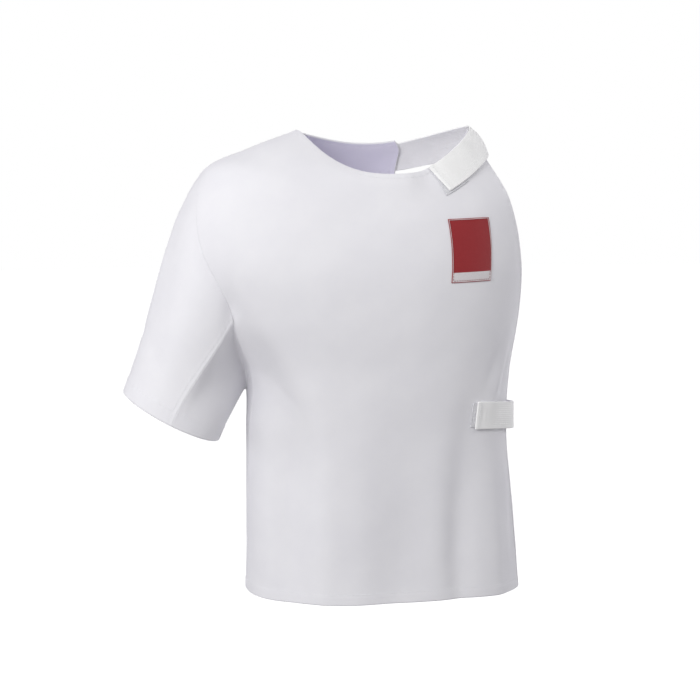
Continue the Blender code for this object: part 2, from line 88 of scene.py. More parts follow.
# Folds of the worn cloth: angle and height of the middle, half width and half length in millimetres,
# sideways drift for each millimetre up, and depth, where minus is a trough. The first twelve are the
# solid's, the first and the twelfth of them deeper.
FOLDS = np.array([
    (38, -470, 22, 125, 0.06, -11.0),
    (56, -495, 13, 105, 0.03, 3.2),
    (70, -455, 9, 60, 0.05, -1.5),
    (60, -280, 8, 32, 0.25, 2.2),
    (-60, -420, 19, 130, -0.06, -5.5),
    (-39, -430, 20, 140, -0.03, 7.0),
    (-76, -172, 10, 34, 0.05, -3.0),
    (-140, -430, 24, 110, 0.05, -4.5),
    (-165, -455, 22, 95, -0.04, 4.0),
    (-128, -235, 18, 50, -0.20, -3.6),
    (-52, -268, 20, 65, -0.28, 5.0),
    (2, -455, 28, 125, 0.05, -5.0),
    (-8, -268, 60, 30, 0.0, -1.4),
    (18, -455, 24, 120, 0.05, -4.4),
    (-24, -440, 20, 130, -0.03, 3.0),
    (-50, -288, 24, 48, -0.28, 2.2),
    (66, -272, 5, 22, 0.30, -1.6),
    (55, -262, 6, 26, 0.30, -1.4),
    (-182, -296, 40, 15, 0.2, -3.8),
    (-150, -316, 34, 13, -0.3, 3.2),
    (-124, -332, 26, 13, 0.4, -3.2),
    (-188, -430, 13, 80, 0.03, -4.2),
    (-118, -420, 13, 90, 0.02, 4.4),
    (-170, -150, 30, 40, 0.1, -3.6),
    (-150, -110, 26, 30, -0.2, 3.0),
    (-25, -540, 17, 34, 0.1, 1.4),
    (8, -540, 15, 30, -0.1, 1.1),
    (31, -540, 12, 28, 0.1, 1.2),
    (-98, -540, 14, 40, 0.1, 1.3),
    (-128, -540, 13, 30, 0.0, 1.5),
    (-178, -540, 14, 34, 0.1, 1.2),
], float)

# The cuff, the way the sleeve hangs and the directions in which its cloth leaves the armhole.
CUFF_MIDDLE = np.array((-243.0, -8.0, -322.0)) * MM
CUFF_INWARD = np.array((54.0, 0.0, -26.5)) * MM
CUFF_FORWARD = np.array((0.0, -63.0, -9.0)) * MM
CUFF_SEAM_ANGLE = 82.0
SLEEVE_FALL = np.array((-0.38, -0.02, -0.92))
SLEEVE_STARTS = np.array([
    (-0.54, -0.16, -0.84, 0.9),
    (-0.62, 0.02, -0.78, 0.8),
    (-0.80, 0.00, -0.60, 0.88),
])
CREASE_FADE = (0.22, 0.6)

# Creases placed in space, for the sleeve, the armpit and where the straps pull: middle, direction, half
# width and half length in millimetres, and depth, where minus is a trough.
CREASES = [
    ((-216, -73, -270), (-0.515, 0.02, -0.857), 9, 75, 1.5),
    ((-208, -60, -215), (-0.55, -0.1, -0.8), 9, 42, -1.2),
    ((-226, -52, -196), (-0.5, -0.1, -0.85), 9, 50, 1.2),
    ((-262, -40, -250), (-0.2, -0.75, -0.6), 9, 26, -1.1),
    ((-276, -10, -262), (-0.1, 0.9, -0.4), 8, 34, 1.5),
    ((-270, 10, -232), (-0.1, 0.9, -0.4), 9, 36, -1.6),
    ((-262, 22, -290), (-0.25, 0.5, -0.8), 8, 30, -1.3),
    ((-232, 58, -214), (-0.5, 0.1, -0.8), 10, 46, -2.6),
    ((-252, 50, -240), (-0.4, 0.3, -0.85), 9, 40, 2.0),
    ((-212, 66, -250), (-0.6, 0.1, -0.8), 9, 36, 2.1),
    ((-190, 52, -286), (-0.2, 0.3, -0.9), 9, 34, -2.0),
    ((-160, 60, -250), (0.7, 0.6, -0.4), 9, 42, -3.0),
    ((-150, 72, -272), (0.7, 0.5, -0.5), 9, 40, 2.4),
    ((-150, 52, -300), (0.4, 0.7, -0.5), 8, 38, -2.2),
    ((-182, -80, -188), (-0.12, 0.1, -1.0), 9, 42, -2.4),
    ((-136, -72, -290), (0.75, -0.4, -0.5), 9, 36, -1.2),
    ((-140, -64, -322), (0.5, -0.4, -0.7), 9, 40, 1.0),
    ((-205, -30, -70), (0.3, -0.9, -0.4), 10, 34, -1.0),
    ((-215, 30, -90), (0.2, 0.9, -0.3), 10, 30, -1.1),
    ((-228, -8, -108), (0.1, 1.0, 0.0), 9, 40, 0.9),
]

# Seams: how far a seam sinks, how the lapped side rises beside it, the ridge of allowances that stand up
# under the cloth and where a lapped seam is topstitched.
SEAM_SINK = 0.12 * MM
SEAM_SINK_WIDTH = 0.8 * MM
LAP_RISE = 0.22 * MM
LAP_WIDTH = 6.5 * MM
LAP_FADE = 1.5 * MM
WELT_RISE = 0.6 * MM
WELT_WIDTH = 1.6 * MM
SEAM_STITCH = 5.0 * MM
# Rows past the armpit between which the side seam's relief fades and the arm seams' rises, and shares of the
# way round the armhole, from its front to its back, between which the armhole seam's rises.
SIDE_SEAM_FADE = (-14, -2)
ARM_SEAM_RISE = (-6, 6)
ARMHOLE_SEAM_RISE = (0.4, 0.6)

# Stitch lines: how far a hem's lies inside the turned width, their dent, and their puckers with the waves'
# length and reach. Each kind of line has shares of the dent and the puckers, and a wander of the waves.
HEM_RISE = 0.45 * MM
HEM_FADE = (0.4 * MM, 1.0 * MM)
HEM_STITCH_INSET = 1.3 * MM
STITCH_SINK = 0.35 * MM
STITCH_SINK_WIDTH = 0.9 * MM
PUCKER = 0.16 * MM
PUCKER_LENGTH = 8.5 * MM
PUCKER_REACH = 5 * MM
HEM_LINE = (1.0, 1.0, 2.2, 31 * MM)
LAP_LINE = (0.6, 0.7, 1.7, 27 * MM)

# The hemmed edges of each panel with their turned widths, and the edges topstitched between two levels.
BODY_HEM = 12 * MM
CUFF_HEM = 16 * MM
NECK_HEM = 7 * MM
HEMS = {
    "front_panel": {"low": BODY_HEM, "high": NECK_HEM, "left": 6 * MM},
    "back_panel": {"low": BODY_HEM, "high": NECK_HEM, "right": 9 * MM},
    "sleeve": {"high": CUFF_HEM},
    "underarm_panel": {"low": BODY_HEM, "high": CUFF_HEM},
}
TOPSTITCHED = {
    "back_panel": [("left", (0, ARMPIT_LEVEL)), ("left", (SHOULDER_LEVEL, NECK_LEVEL))],
    "sleeve": [("left", None), ("right", None)],
}
# The points of a grid's sides, the side from which places along each are measured, and points outside the
# garment on its right, ahead of it and on its left.
SIDE_POINTS = {"low": np.s_[0], "high": np.s_[-1], "left": np.s_[:, 0], "right": np.s_[:, -1]}
ALONG = {"low": "left", "high": "left", "left": "low", "right": "low"}
RIGHT_OUTSIDE, AHEAD_OUTSIDE, LEFT_OUTSIDE = (-5, 0, -0.2), (0.5, -5, -0.3), (5, 0, -0.3)

# The neck edge: the soft roll's distance, width and height, how far down and out the edge stands off the
# body, and where both fade, by degrees towards the strap and by metres from the shoulder seam.
NECK_ROLL = (11 * MM, 8 * MM, 1.0 * MM)
NECK_STAND = (48 * MM, 4.5 * MM)
NECK_FADE_TURN = (6, 24)
NECK_FADE_SEAM = (0.02, 0.14)
RIM_STEPS = 4
EDGE_FADE = 1.2 * MM

# Places of the grid lines close to an edge, in millimetres from it, and the usual distance after them.
EDGE_LINES = (0.0, 0.4, 0.9, 1.6, 2.5, 3.6, 4.8, 6.0, 7.2, 8.6, 10.2, 12.0, 14.0)
USUAL_LINE = 2.7
STRAP_LINES = (0, 0.3, 0.8, 1.5, 2.6, 4.2, 6.2, 8.4, 10.6, 11.6, 12.6, 14.5)
STRAP_USUAL_LINE = 2.4

DROP_STEP = 0.04
DROP_STEPS = 64
NECK_BAND_ROWS = 12
WAIST_BAND_ROWS = 8
NECK_STRAP_WIDTH = 36 * MM
NECK_STRAP_FRONT = (26.0, 33.0)
NECK_STRAP_BACK = 172.0
NECK_STRAP_SINK = 6 * MM
NECK_STRAP_SINKING = (85.0, 150.0)
NECK_STRAP_BOW = 3.5 * MM
NECK_STRAP_BOW_RISE = 0.8
NECK_STRAP_FREE = (55.0, 85.0, 115.0, 145.0)
NECK_PATCH_FRONT = (28.0, 30.5)
NECK_PATCH_BACK = 47.0
NECK_PATCH_SPAN = (8 * MM, 39 * MM)
WAIST_STRAP_WIDTH = 30 * MM
WAIST_STRAP_FRONT = 47.0
WAIST_STRAP_BACK = 172.0
WAIST_STRAP_HEIGHT = -322 * MM
WAIST_STRAP_DROP = 11 * MM
WAIST_STRAP_DROPPING = (40.0, 100.0)
WAIST_STRAP_SLACK = 6 * MM
WAIST_STRAP_FREE = (62.0, 84.0, 132.0, 156.0)
WAIST_PATCH_ANGLE = 52.0
WAIST_PATCH_SIZE = (32 * MM, 27 * MM)
NECK_CORNER = 8.0
NECK_CORNER_LEVELS = (NECK_LEVEL - 0.6, NECK_LEVEL + 0.25)
HEM_CORNER = 3.0
HEM_CORNER_LEVELS = (-0.08, 0.28)
LABEL_ANGLE = 37.5
LABEL_HEIGHT = -134.5 * MM
LABEL_SIZE = (49 * MM, 70 * MM)
LABEL_TURNS = (2.0, -3.5)
LABEL_FLAT = (52.3 * MM, 70.7 * MM)

# The straps: ribs, the turned front end with its stitch line, the points of each straight stitch line, the
# gathers at both ends as height, wave length and reach, the lift over the back panel, and the sewn box.
RIB_DEPTH = 0.06 * MM
TURNED_RISE = 0.8 * MM
TURNED_END = (4.2 * MM, 5.4 * MM)
TURNED_STITCH = 3 * MM
TURNED_STITCH_END = 1.5 * MM
LINE_POINTS = 60
FRONT_GATHER = (0.25 * MM, 5.2 * MM, (14 * MM, 40 * MM))
BACK_GATHER = (0.22 * MM, 5.6 * MM, (30 * MM, 52 * MM))
STRAP_ON_BACK = (138.0, 156.0)
STRAP_BACK_LIFT = 0.62 * MM
STRAP_BOX = (30 * MM, 3 * MM)
STRAP_BOX_INSET = 2.2 * MM
PATCH_STITCH_INSET = 1.8 * MM
PATCH_STITCH_SINK = 0.22 * MM
PATCH_STITCH_WIDTH = 0.7 * MM
LABEL_STITCH_INSET = 1.7 * MM

# The stitches: sides and profile, as shares of the length and thickness, and how far they lie off the cloth.
STITCH_PITCH = 3.2 * MM
STITCH_LENGTH = 2.5 * MM
STITCH_WIDTH = 0.55 * MM
STITCH_HEIGHT = 0.42 * MM
STITCH_SIDES = 6
STITCH_PROFILE = [(-0.5, 0.28), (-0.36, 0.8), (0.0, 1.0), (0.36, 0.8), (0.5, 0.28)]
STITCH_LIFT = 0.1 * MM
PANEL_STITCH_LIFT = 0.12 * MM

CAMERA_AZIMUTH = -12.0
CAMERA_ELEVATION = 5.0
CAMERA_DISTANCE = 2.2
CAMERA_LENS = 97.0
CAMERA_ASIDE = -33 * MM
CAMERA_HEIGHT = -254 * MM
FLOOR_HEIGHT = -1.05
FLOOR_SIZE = 40.0
# The sky's light: direction upward from and to, and its strength there. Then the lights: name, place, size,
# power and colour, all aimed at the garment's middle.
SKY_FADE = {"From Min": -0.9, "From Max": 0.9, "To Min": 0.41, "To Max": 0.37}
LIGHTS = [
    ("key", (-1.5, -1.65, 0.6), 0.8, 29.0, (1.0, 1.0, 1.0)),
    ("front", (0.5, -1.1, 0.85), 0.6, 3.4, (1.0, 1.0, 1.0)),
    ("right_rim", (1.9, 0.75, 0.1), 1.4, 15.0, (0.97, 0.97, 1.0)),
    ("left_rim", (-2.0, 0.9, 0.3), 1.0, 8.0, (0.97, 0.97, 1.0)),
    ("top", (-0.2, 0.1, 2.1), 1.4, 5.5, (1.0, 1.0, 1.0)),
]
LIGHTS_TARGET = (0, 0, -0.25)


# ---- The worn form ----


def mix(a, b, share):
    return a + (b - a) * share


def smooth_step(value, low, high):
    share = np.clip((np.asarray(value, float) - low) / (high - low), 0.0, 1.0)
    return share * share * (3 - 2 * share)


def unit(vectors):
    return vectors / np.maximum(np.linalg.norm(vectors, axis=-1, keepdims=True), 1e-12)


def bell(value, width):
    return np.exp(-((value / width) ** 2))


def between_rows(table, place):
    """Reads a table at fractional rows, on a smooth curve through its rows."""
    place = np.asarray(place, float)
    last = len(table) - 1
    here = np.clip(place.astype(int), 0, last - 1)
    share = (place - here)[..., None]
    before, start, end, after = (table[np.clip(here + step, 0, last)] for step in (-1, 0, 1, 2))
    rise, run = (end - before) / 2, (after - start) / 2
    return (
        start
        + share * rise
        + share**2 * (3 * (end - start) - 2 * rise - run)
        + share**3 * (2 * (start - end) + rise + run)
    )


def ring_value(name, level):
    return between_rows(RINGS, level)[..., COLUMN[name]]


def fold_height(angle, radius, z):
    """How far the folds push the cloth out at each place, in millimetres."""
    total = np.zeros_like(radius)
    for middle, height, width, length, drift, depth in FOLDS:
        along = z - height
        across = np.radians(angle - middle) * radius - drift * along
        total += depth * bell(across, width) * bell(along, length)
    return total


def torso(angle, level):
    """Points on the outside of the cloth round the body."""
    angle, level = np.broadcast_arrays(np.asarray(angle, float), np.asarray(level, float))
    ring = dict(zip(RING_FIELDS, np.moveaxis(between_rows(RINGS, level), -1, 0)))
    turn = np.radians(angle)
    side, ahead = np.sin(turn), np.cos(turn)
    right, front = side < 0, ahead > 0
    width = np.where(right, ring["right"], ring["left"])
    square = np.where(right, ring["square_right"], ring["square_left"])
    depth = np.where(front, ring["front"], ring["back"])
    z_middle = np.where(front, ring["z_front"], ring["z_back"])
    z_side = np.where(right, ring["z_right"], ring["z_left"])
    climb = np.where(front, np.where(right, ring["climb_right"], ring["climb_left"]), ring["climb_back"])
    radius = ((np.abs(side) / width) ** square + (np.abs(ahead) / depth) ** square) ** (-1 / square)
    z = mix(z_middle, z_side, np.abs(side) ** climb)
    wrapped = (angle + 210) % 360 - 210
    radius = radius + fold_height(wrapped, radius, z)
    return np.stack([radius * side, -radius * ahead, z], -1) * MM


def facing_of(surface, angle, level, step=(0.5, 0.01)):
    """Outward normals of a surface that is given by angle and level, from points a step to each side."""
    turn, rise = step
    sideways = surface(angle + turn, level) - surface(angle - turn, level)
    upward = surface(angle, level + rise) - surface(angle, level - rise)
    return unit(np.cross(sideways, upward))


def creased_torso(angle, level):
    points = torso(angle, level)
    return points + facing_of(torso, angle, level) * cloth_height(points)[..., None]


def halve(low, high, is_under, rounds):
    """Where is_under turns false between low and high, found by halving."""
    for _ in range(rounds):
        middle = (low + high) / 2
        under = is_under(middle)
        low, high = np.where(under, middle, low), np.where(under, high, middle)
    return low


def torso_at_height(angle, z):
    """Torso points at these angles and heights, found by halving the levels."""
    angle, z = np.broadcast_arrays(np.asarray(angle, float), np.asarray(z, float))
    bounds = np.zeros(z.shape), np.full(z.shape, float(NECK_LEVEL))
    return torso(angle, halve(*bounds, lambda level: torso(angle, level)[..., 2] < z, LEVEL_HALVINGS))


def armhole_reach(level):
    middle = (ARMPIT_LEVEL + SHOULDER_LEVEL) / 2
    below = np.clip(middle - np.asarray(level, float), -1.0, 1.0)
    bulge = 1 - below * below
    bulge = np.where(below < 0, np.sqrt(bulge), bulge)
    return ARMPIT_REACH * (1 + below) / 2 + ARMHOLE_BULGE * bulge


def armhole_level(share):
    return mix(ARMPIT_LEVEL, SHOULDER_LEVEL, np.sin(np.pi / 2 * share))


def right_edge(level, name):
    """Angle at which the panel with this seam, front_seam or back_seam, ends on the right side."""
    level = np.asarray(level, float)
    beside = np.where(level < SHOULDER_LEVEL, armhole_reach(np.minimum(level, SHOULDER_LEVEL)), 0.0)
    ahead = 1 if name == "front_seam" else -1
    return np.where(level < ARMPIT_LEVEL, ring_value(name, level), -90 + ahead * beside)


def back_edge(level):
    """The back panel's free edge, past the centre back, with its corners rounded off."""
    neck_corner = smooth_step(level, *NECK_CORNER_LEVELS)
    hem_corner = 1 - smooth_step(level, *HEM_CORNER_LEVELS)
    return ring_value("back_edge", level) + NECK_CORNER * neck_corner + HEM_CORNER * hem_corner


def cuff_point(angle):
    turn = np.radians(angle)[..., None]
    return CUFF_MIDDLE - CUFF_INWARD * np.cos(turn) + CUFF_FORWARD * np.sin(turn)


def armhole_spot(around):
    around = np.asarray(around, float)
    level = armhole_level(np.minimum(around, 1 - around) * 2)
    reach = armhole_reach(level)
    return -90 + np.where(around < 0.5, reach, -reach), level


def sleeve_start(around):
    """Direction and reach of the cloth where it leaves the armhole."""
    around = np.asarray(around, float)
    half = np.minimum(around, 1 - around) * 2
    leaving = between_rows(SLEEVE_STARTS, half * 2)
    ahead = np.where(around < 0.5, leaving[..., 1], -leaving[..., 1])
    direction = np.stack([leaving[..., 0], ahead, leaving[..., 2]], -1)
    facing = facing_of(torso, *armhole_spot(around), (1, 0.02))
    flow = smooth_step(half, *CREASE_FADE)[..., None]
    direction = direction - facing * (direction * facing).sum(-1, keepdims=True) * flow
    return unit(direction) * leaving[..., 3:]


def loft(start, leaving, end, along):
    """Points on the smooth run from armhole points to cuff points."""
    reach = np.linalg.norm(end - start, axis=-1, keepdims=True)
    return (
        start * (1 - 3 * along**2 + 2 * along**3)
        + leaving * reach * (along - 2 * along**2 + along**3)
        + end * (3 * along**2 - 2 * along**3)
        + unit(SLEEVE_FALL) * reach * (along**3 - along**2)
    )


def armpit_level(across):
    hump = np.clip(4 * across * (1 - across), 0.0, 1.0)
    return ARMPIT_LEVEL - ARMPIT_DIP * hump**ARMPIT_ARCH


# ---- Grids of the four panels ----


def line_shares(total, fine_start=True, fine_end=True):
    """Places of grid lines from 0 to 1 on a run of this many millimetres, close together at edges."""
    start = list(EDGE_LINES) if fine_start else [0.0]
    end = [total - x for x in reversed(EDGE_LINES)] if fine_end else [total]
    steps = max(int(round((end[0] - start[-1]) / USUAL_LINE)), 1)
    middle = [mix(start[-1], end[0], i / steps) for i in range(1, steps)]
    return np.array(start + middle + end) / total


# Places of the grid lines along and across the panels, from their usual lengths.
BODY_SHARES = line_shares(322, fine_end=False)
ARMHOLE_SHARES = line_shares(185, fine_end=False)
SHOULDER_SHARES = line_shares(125, fine_start=False)
SLEEVE_SHARES = line_shares(190)
FRONT_SHARES = line_shares(330)
BACK_SHARES = line_shares(290)
UNDERARM_SHARES = line_shares(120)
AROUND_SHARES = np.concatenate([ARMHOLE_SHARES / 2, 1 - ARMHOLE_SHARES[-2::-1] / 2])
BODY_ROWS = len(BODY_SHARES) - 1
BODY_LEVELS = np.concatenate([
    BODY_SHARES[:-1] * ARMPIT_LEVEL,
    armhole_level(ARMHOLE_SHARES)[:-1],
    mix(SHOULDER_LEVEL, NECK_LEVEL, SHOULDER_SHARES),
])


def front_places():
    level = BODY_LEVELS[:, None]
    return mix(ring_value("left_edge", level), right_edge(level, "front_seam"), FRONT_SHARES), level


def back_places():
    level = BODY_LEVELS[:, None]
    return mix(right_edge(level, "back_seam"), back_edge(level), BACK_SHARES), level


def sleeve_grid():
    start = torso(*armhole_spot(AROUND_SHARES))
    end = cuff_point(mix(CUFF_SEAM_ANGLE, -CUFF_SEAM_ANGLE, AROUND_SHARES))
    return loft(start, sleeve_start(AROUND_SHARES), end, SLEEVE_SHARES[:, None, None])


def side_points(across, share):
    level = armpit_level(across) * share
    return torso(mix(right_edge(level, "front_seam"), right_edge(level, "back_seam"), across), level)


def underarm_grid():
    """From the hem up the side to the armpit fold and on along the sleeve to the cuff."""
    across = UNDERARM_SHARES
    body = side_points(across, BODY_SHARES[:-1, None])
    start = side_points(across, 1.0)
    end = cuff_point(mix(CUFF_SEAM_ANGLE, 360 - CUFF_SEAM_ANGLE, across))
    seam_leaving = np.where(across[:, None] < 0.5, sleeve_start(0.0), sleeve_start(1.0))
    straight = unit(end - start) * np.linalg.norm(seam_leaving, axis=-1, keepdims=True)
    leaving = mix(seam_leaving, straight, np.sin(np.pi * across)[:, None])
    arm = loft(start, leaving, end, SLEEVE_SHARES[:, None, None])
    rows = np.concatenate([body, arm])
    low, high = BODY_ROWS - ARMPIT_SMOOTHED[0], BODY_ROWS + ARMPIT_SMOOTHED[1]
    weight = 0.5 * np.sin(np.pi * across)[None, :, None]
    for _ in range(ARMPIT_ROUNDS):
        average = (rows[low - 1:high - 1] + rows[low + 1:high + 1]) / 2
        rows[low:high] = mix(rows[low:high], average, weight)
    return rows


def grid_normals(rows):
    """Normals of a grid's points, from the points beside, above and below them."""
    wide = np.concatenate([rows[:, :1], rows, rows[:, -1:]], axis=1)
    tall = np.concatenate([rows[:1], rows, rows[-1:]], axis=0)
    return unit(np.cross(wide[:, 2:] - wide[:, :-2], tall[2:] - tall[:-2]))


def outward(rows, outside):
    """The grid's normals, turned to the side on which the point outside lies from the grid's middle."""
    normals = grid_normals(rows)
    j, i = rows.shape[0] // 2, rows.shape[1] // 2
    side = np.dot(normals[j, i], np.array(outside) - rows[j, i])
    return normals if side > 0 else -normals


def share_seam_normals(panels):
    """Gives the points that panels share one normal, evened out along the seams."""
    shapes = [points.shape for points, _ in panels.values()]
    sizes = [shape[0] * shape[1] for shape in shapes]
    cuts = np.cumsum(sizes)[:-1]
    points, normals = (np.concatenate([pair[k].reshape(-1, 3) for pair in panels.values()]) for k in (0, 1))
    keys = np.round(points / SAME_POINT).astype(np.int64)
    group = np.unique(keys, axis=0, return_inverse=True)[1].ravel()
    owners = np.zeros((group.max() + 1, len(sizes)), bool)
    owners[group, np.repeat(np.arange(len(sizes)), sizes)] = True
    is_seam = owners.sum(1) > 1
    total = np.zeros((len(owners), 3))
    np.add.at(total, group, normals)
    total = unit(total)
    links = set()
    for shape, ids in zip(shapes, np.split(group, cuts)):
        ids = ids.reshape(shape[:2])
        for line in (ids[0], ids[-1], ids[:, 0], ids[:, -1]):
            pairs = ((min(a, b), max(a, b)) for a, b in zip(line, line[1:]) if a != b)
            links.update(pair for pair in pairs if is_seam[pair[0]] and is_seam[pair[1]])
    a, b = np.array(sorted(links)).T
    for _ in range(SEAM_ROUNDS):
        gathered = 2 * total
        np.add.at(gathered, a, total[b])
        np.add.at(gathered, b, total[a])
        total = np.where(is_seam[:, None], unit(gathered), total)
    normals = np.where(is_seam[group][:, None], total[group], normals)
    for name, shape, found in zip(list(panels), shapes, np.split(normals, cuts)):
        panels[name] = (panels[name][0], found.reshape(shape))


def crease_height(points):
    """How far the creases placed in space push the cloth out, in metres."""
    total = np.zeros(points.shape[:-1])
    for middle, direction, width, length, depth in CREASES:
        line = unit(np.array(direction, float))
        away = points - np.array(middle) * MM
        along = away @ line
        across = np.linalg.norm(away - along[..., None] * line, axis=-1)
        total += depth * MM * bell(across, width * MM) * bell(along, length * MM)
    return total


def unevenness(points):
    """Slow swells that keep wide stretches of cloth from being perfectly even, in metres."""
    x, y, z = (points[..., k] / MM for k in range(3))
    return MM * (
        0.22 * np.sin(x / 19 + 1.3 * np.sin(z / 41)) * np.sin(z / 27 + y / 33)
        + 0.13 * np.sin(x / 9.5 - z / 14 + y / 12) * np.sin(z / 17 + 0.6)
    )


def cloth_height(points):
    return crease_height(points) + unevenness(points)


def edge_distances(rows):
    """Distances along the cloth from the first and last column and from the first and last row."""
    along_row = np.linalg.norm(np.diff(rows, axis=1), axis=-1)
    along_column = np.linalg.norm(np.diff(rows, axis=0), axis=-1)
    u = np.concatenate([np.zeros((rows.shape[0], 1)), np.cumsum(along_row, 1)], 1)
    v = np.concatenate([np.zeros((1, rows.shape[1])), np.cumsum(along_column, 0)], 0)
    return {"left": u, "right": u[:, -1:] - u, "low": v, "high": v[-1:] - v}


def stitch_relief(distance, along, kind):
    """The dent and the small puckers of a stitch line, by the distance from it."""
    sink, pucker, swing, swing_length = kind
    wave = np.sin(2 * np.pi * along / PUCKER_LENGTH + swing * np.sin(along / swing_length))
    dent = -sink * STITCH_SINK * bell(distance, STITCH_SINK_WIDTH)
    return dent + pucker * PUCKER * wave * bell(distance, PUCKER_REACH)


def hem_relief(distance, along, width):
    """Rise of a turned edge, with its stitch line."""
    rise = HEM_RISE * (1 - smooth_step(distance, width - HEM_FADE[0], width + HEM_FADE[1]))
    return rise + stitch_relief(distance - width + HEM_STITCH_INSET, along, HEM_LINE)


def seam_relief(distance, along, lapped):
    """A seam's groove, and where it is lapped the rise and topstitching over the allowance underneath."""
    rise = LAP_RISE * (1 - smooth_step(distance, LAP_WIDTH, LAP_WIDTH + LAP_FADE))
    lap = rise + stitch_relief(distance - SEAM_STITCH, along, LAP_LINE)
    return lapped * lap * smooth_step(distance, 0.0, EDGE_FADE) - SEAM_SINK * bell(distance, SEAM_SINK_WIDTH)


def welt_relief(distance):
    """Half of the narrow ridge along a seam whose allowances stand up under the cloth."""
    return WELT_RISE * bell(distance, WELT_WIDTH)


# ---- Meshes ----


def loop_ids(shape):
    """Indices of a grid's outer loop, once round."""
    rows, columns = shape
    ids = np.arange(rows * columns).reshape(shape)
    return np.concatenate([ids[0, :-1], ids[:-1, -1], ids[-1, :0:-1], ids[:0:-1, 0]])


def loop_outward(rows):
    """Direction out of the sheet at each point of its outer loop, in the sheet's plane."""
    out = np.zeros_like(rows)
    out[0] += unit(rows[0] - rows[1])
    out[-1] += unit(rows[-1] - rows[-2])
    out[:, 0] += unit(rows[:, 0] - rows[:, 1])
    out[:, -1] += unit(rows[:, -1] - rows[:, -2])
    return unit(out)


def link_mesh(name, vertices, faces, materials):
    mesh = bpy.data.meshes.new(name)
    mesh.from_pydata(vertices.tolist(), [], faces.tolist())
    mesh.update()
    mesh.shade_smooth()
    for material in materials:
        mesh.materials.append(material)
    piece = bpy.data.objects.new(name, mesh)
    bpy.context.scene.collection.objects.link(piece)
    return piece


def add_grain(mesh, grain):
    """Stores each vertex's place in the flat cloth, in metres, as a UV map for the weave."""
    layer = mesh.uv_layers.new(name="grain")
    corner = np.zeros(len(mesh.loops), np.int32)
    mesh.loops.foreach_get("vertex_index", corner)
    layer.uv.foreach_set("vector", grain[corner].astype(np.float32).ravel())


def add_shell(name, rows, normals, outer, thickness, round_edge, materials):
    """A closed wall whose outside lies at the offsets outer. Its rim is rounded where round_edge is 1. The
    second material, if any, is for the inside."""
    shape = rows.shape[:2]
    size = shape[0] * shape[1]
    thickness = np.broadcast_to(thickness, shape)
    top = (rows + normals * outer[..., None]).reshape(-1, 3)
    bottom = (rows + normals * (outer - thickness)[..., None]).reshape(-1, 3)
    ids = np.arange(size).reshape(shape)
    a, b, c, d = ids[:-1, :-1].ravel(), ids[:-1, 1:].ravel(), ids[1:, 1:].ravel(), ids[1:, :-1].ravel()
    quads_top = np.stack([a, b, c, d], 1)
    cross = np.cross(rows[0, 1] - rows[0, 0], rows[1, 0] - rows[0, 0])
    flipped = np.dot(cross, normals[0, 0]) < 0
    if flipped:
        quads_top = quads_top[:, ::-1]
    quads_bottom = quads_top[:, ::-1] + size
    loop = loop_ids(shape)
    out = loop_outward(rows).reshape(-1, 3)[loop]
    roundness = (round_edge * thickness).ravel()[loop][:, None] / 2
    middle, half = (top[loop] + bottom[loop]) / 2, (top[loop] - bottom[loop]) / 2
    rings = [loop]
    extra = []
    for k in range(1, RIM_STEPS):
        turn = math.pi * k / RIM_STEPS
        extra.append(middle + half * math.cos(turn) + out * roundness * math.sin(turn))
        rings.append(2 * size + (k - 1) * len(loop) + np.arange(len(loop)))
    rings.append(loop + size)
    rim = []
    for low, high in zip(rings, rings[1:]):
        quad = np.stack([low, high, np.roll(high, -1), np.roll(low, -1)], 1)
        rim.append(quad[:, ::-1] if flipped else quad)
    vertices = np.concatenate([top, bottom] + extra)
    faces = np.concatenate([quads_top, quads_bottom] + rim)
    piece = link_mesh(name, vertices, faces, materials)
    if len(materials) > 1:
        index = np.zeros(len(faces), np.int32)
        index[len(quads_top):len(quads_top) + len(quads_bottom)] = 1
        piece.data.polygons.foreach_set("material_index", index)
    distances = edge_distances(rows)
    grain = np.stack([distances["left"], distances["low"]], -1).reshape(-1, 2)
    add_grain(piece.data, np.concatenate([grain, grain] + [grain[loop]] * (RIM_STEPS - 1)))
    return piece


def stitch_line(points, normals, lift=STITCH_LIFT):
    """Places of the stitches along a line: middles, directions and normals."""
    step = np.linalg.norm(np.diff(points, axis=0), axis=-1)
    reach = np.concatenate([[0.0], np.cumsum(step)])
    count = max(int(reach[-1] / STITCH_PITCH), 1)
    middle = (np.arange(count) + 0.5) * reach[-1] / count

    def at(values, places):
        return np.stack([np.interp(places, reach, values[:, k]) for k in range(3)], -1)

    direction = unit(at(points, middle + STITCH_PITCH / 4) - at(points, middle - STITCH_PITCH / 4))
    normal = unit(at(normals, middle))
    return at(points, middle) + normal * lift, direction, normal


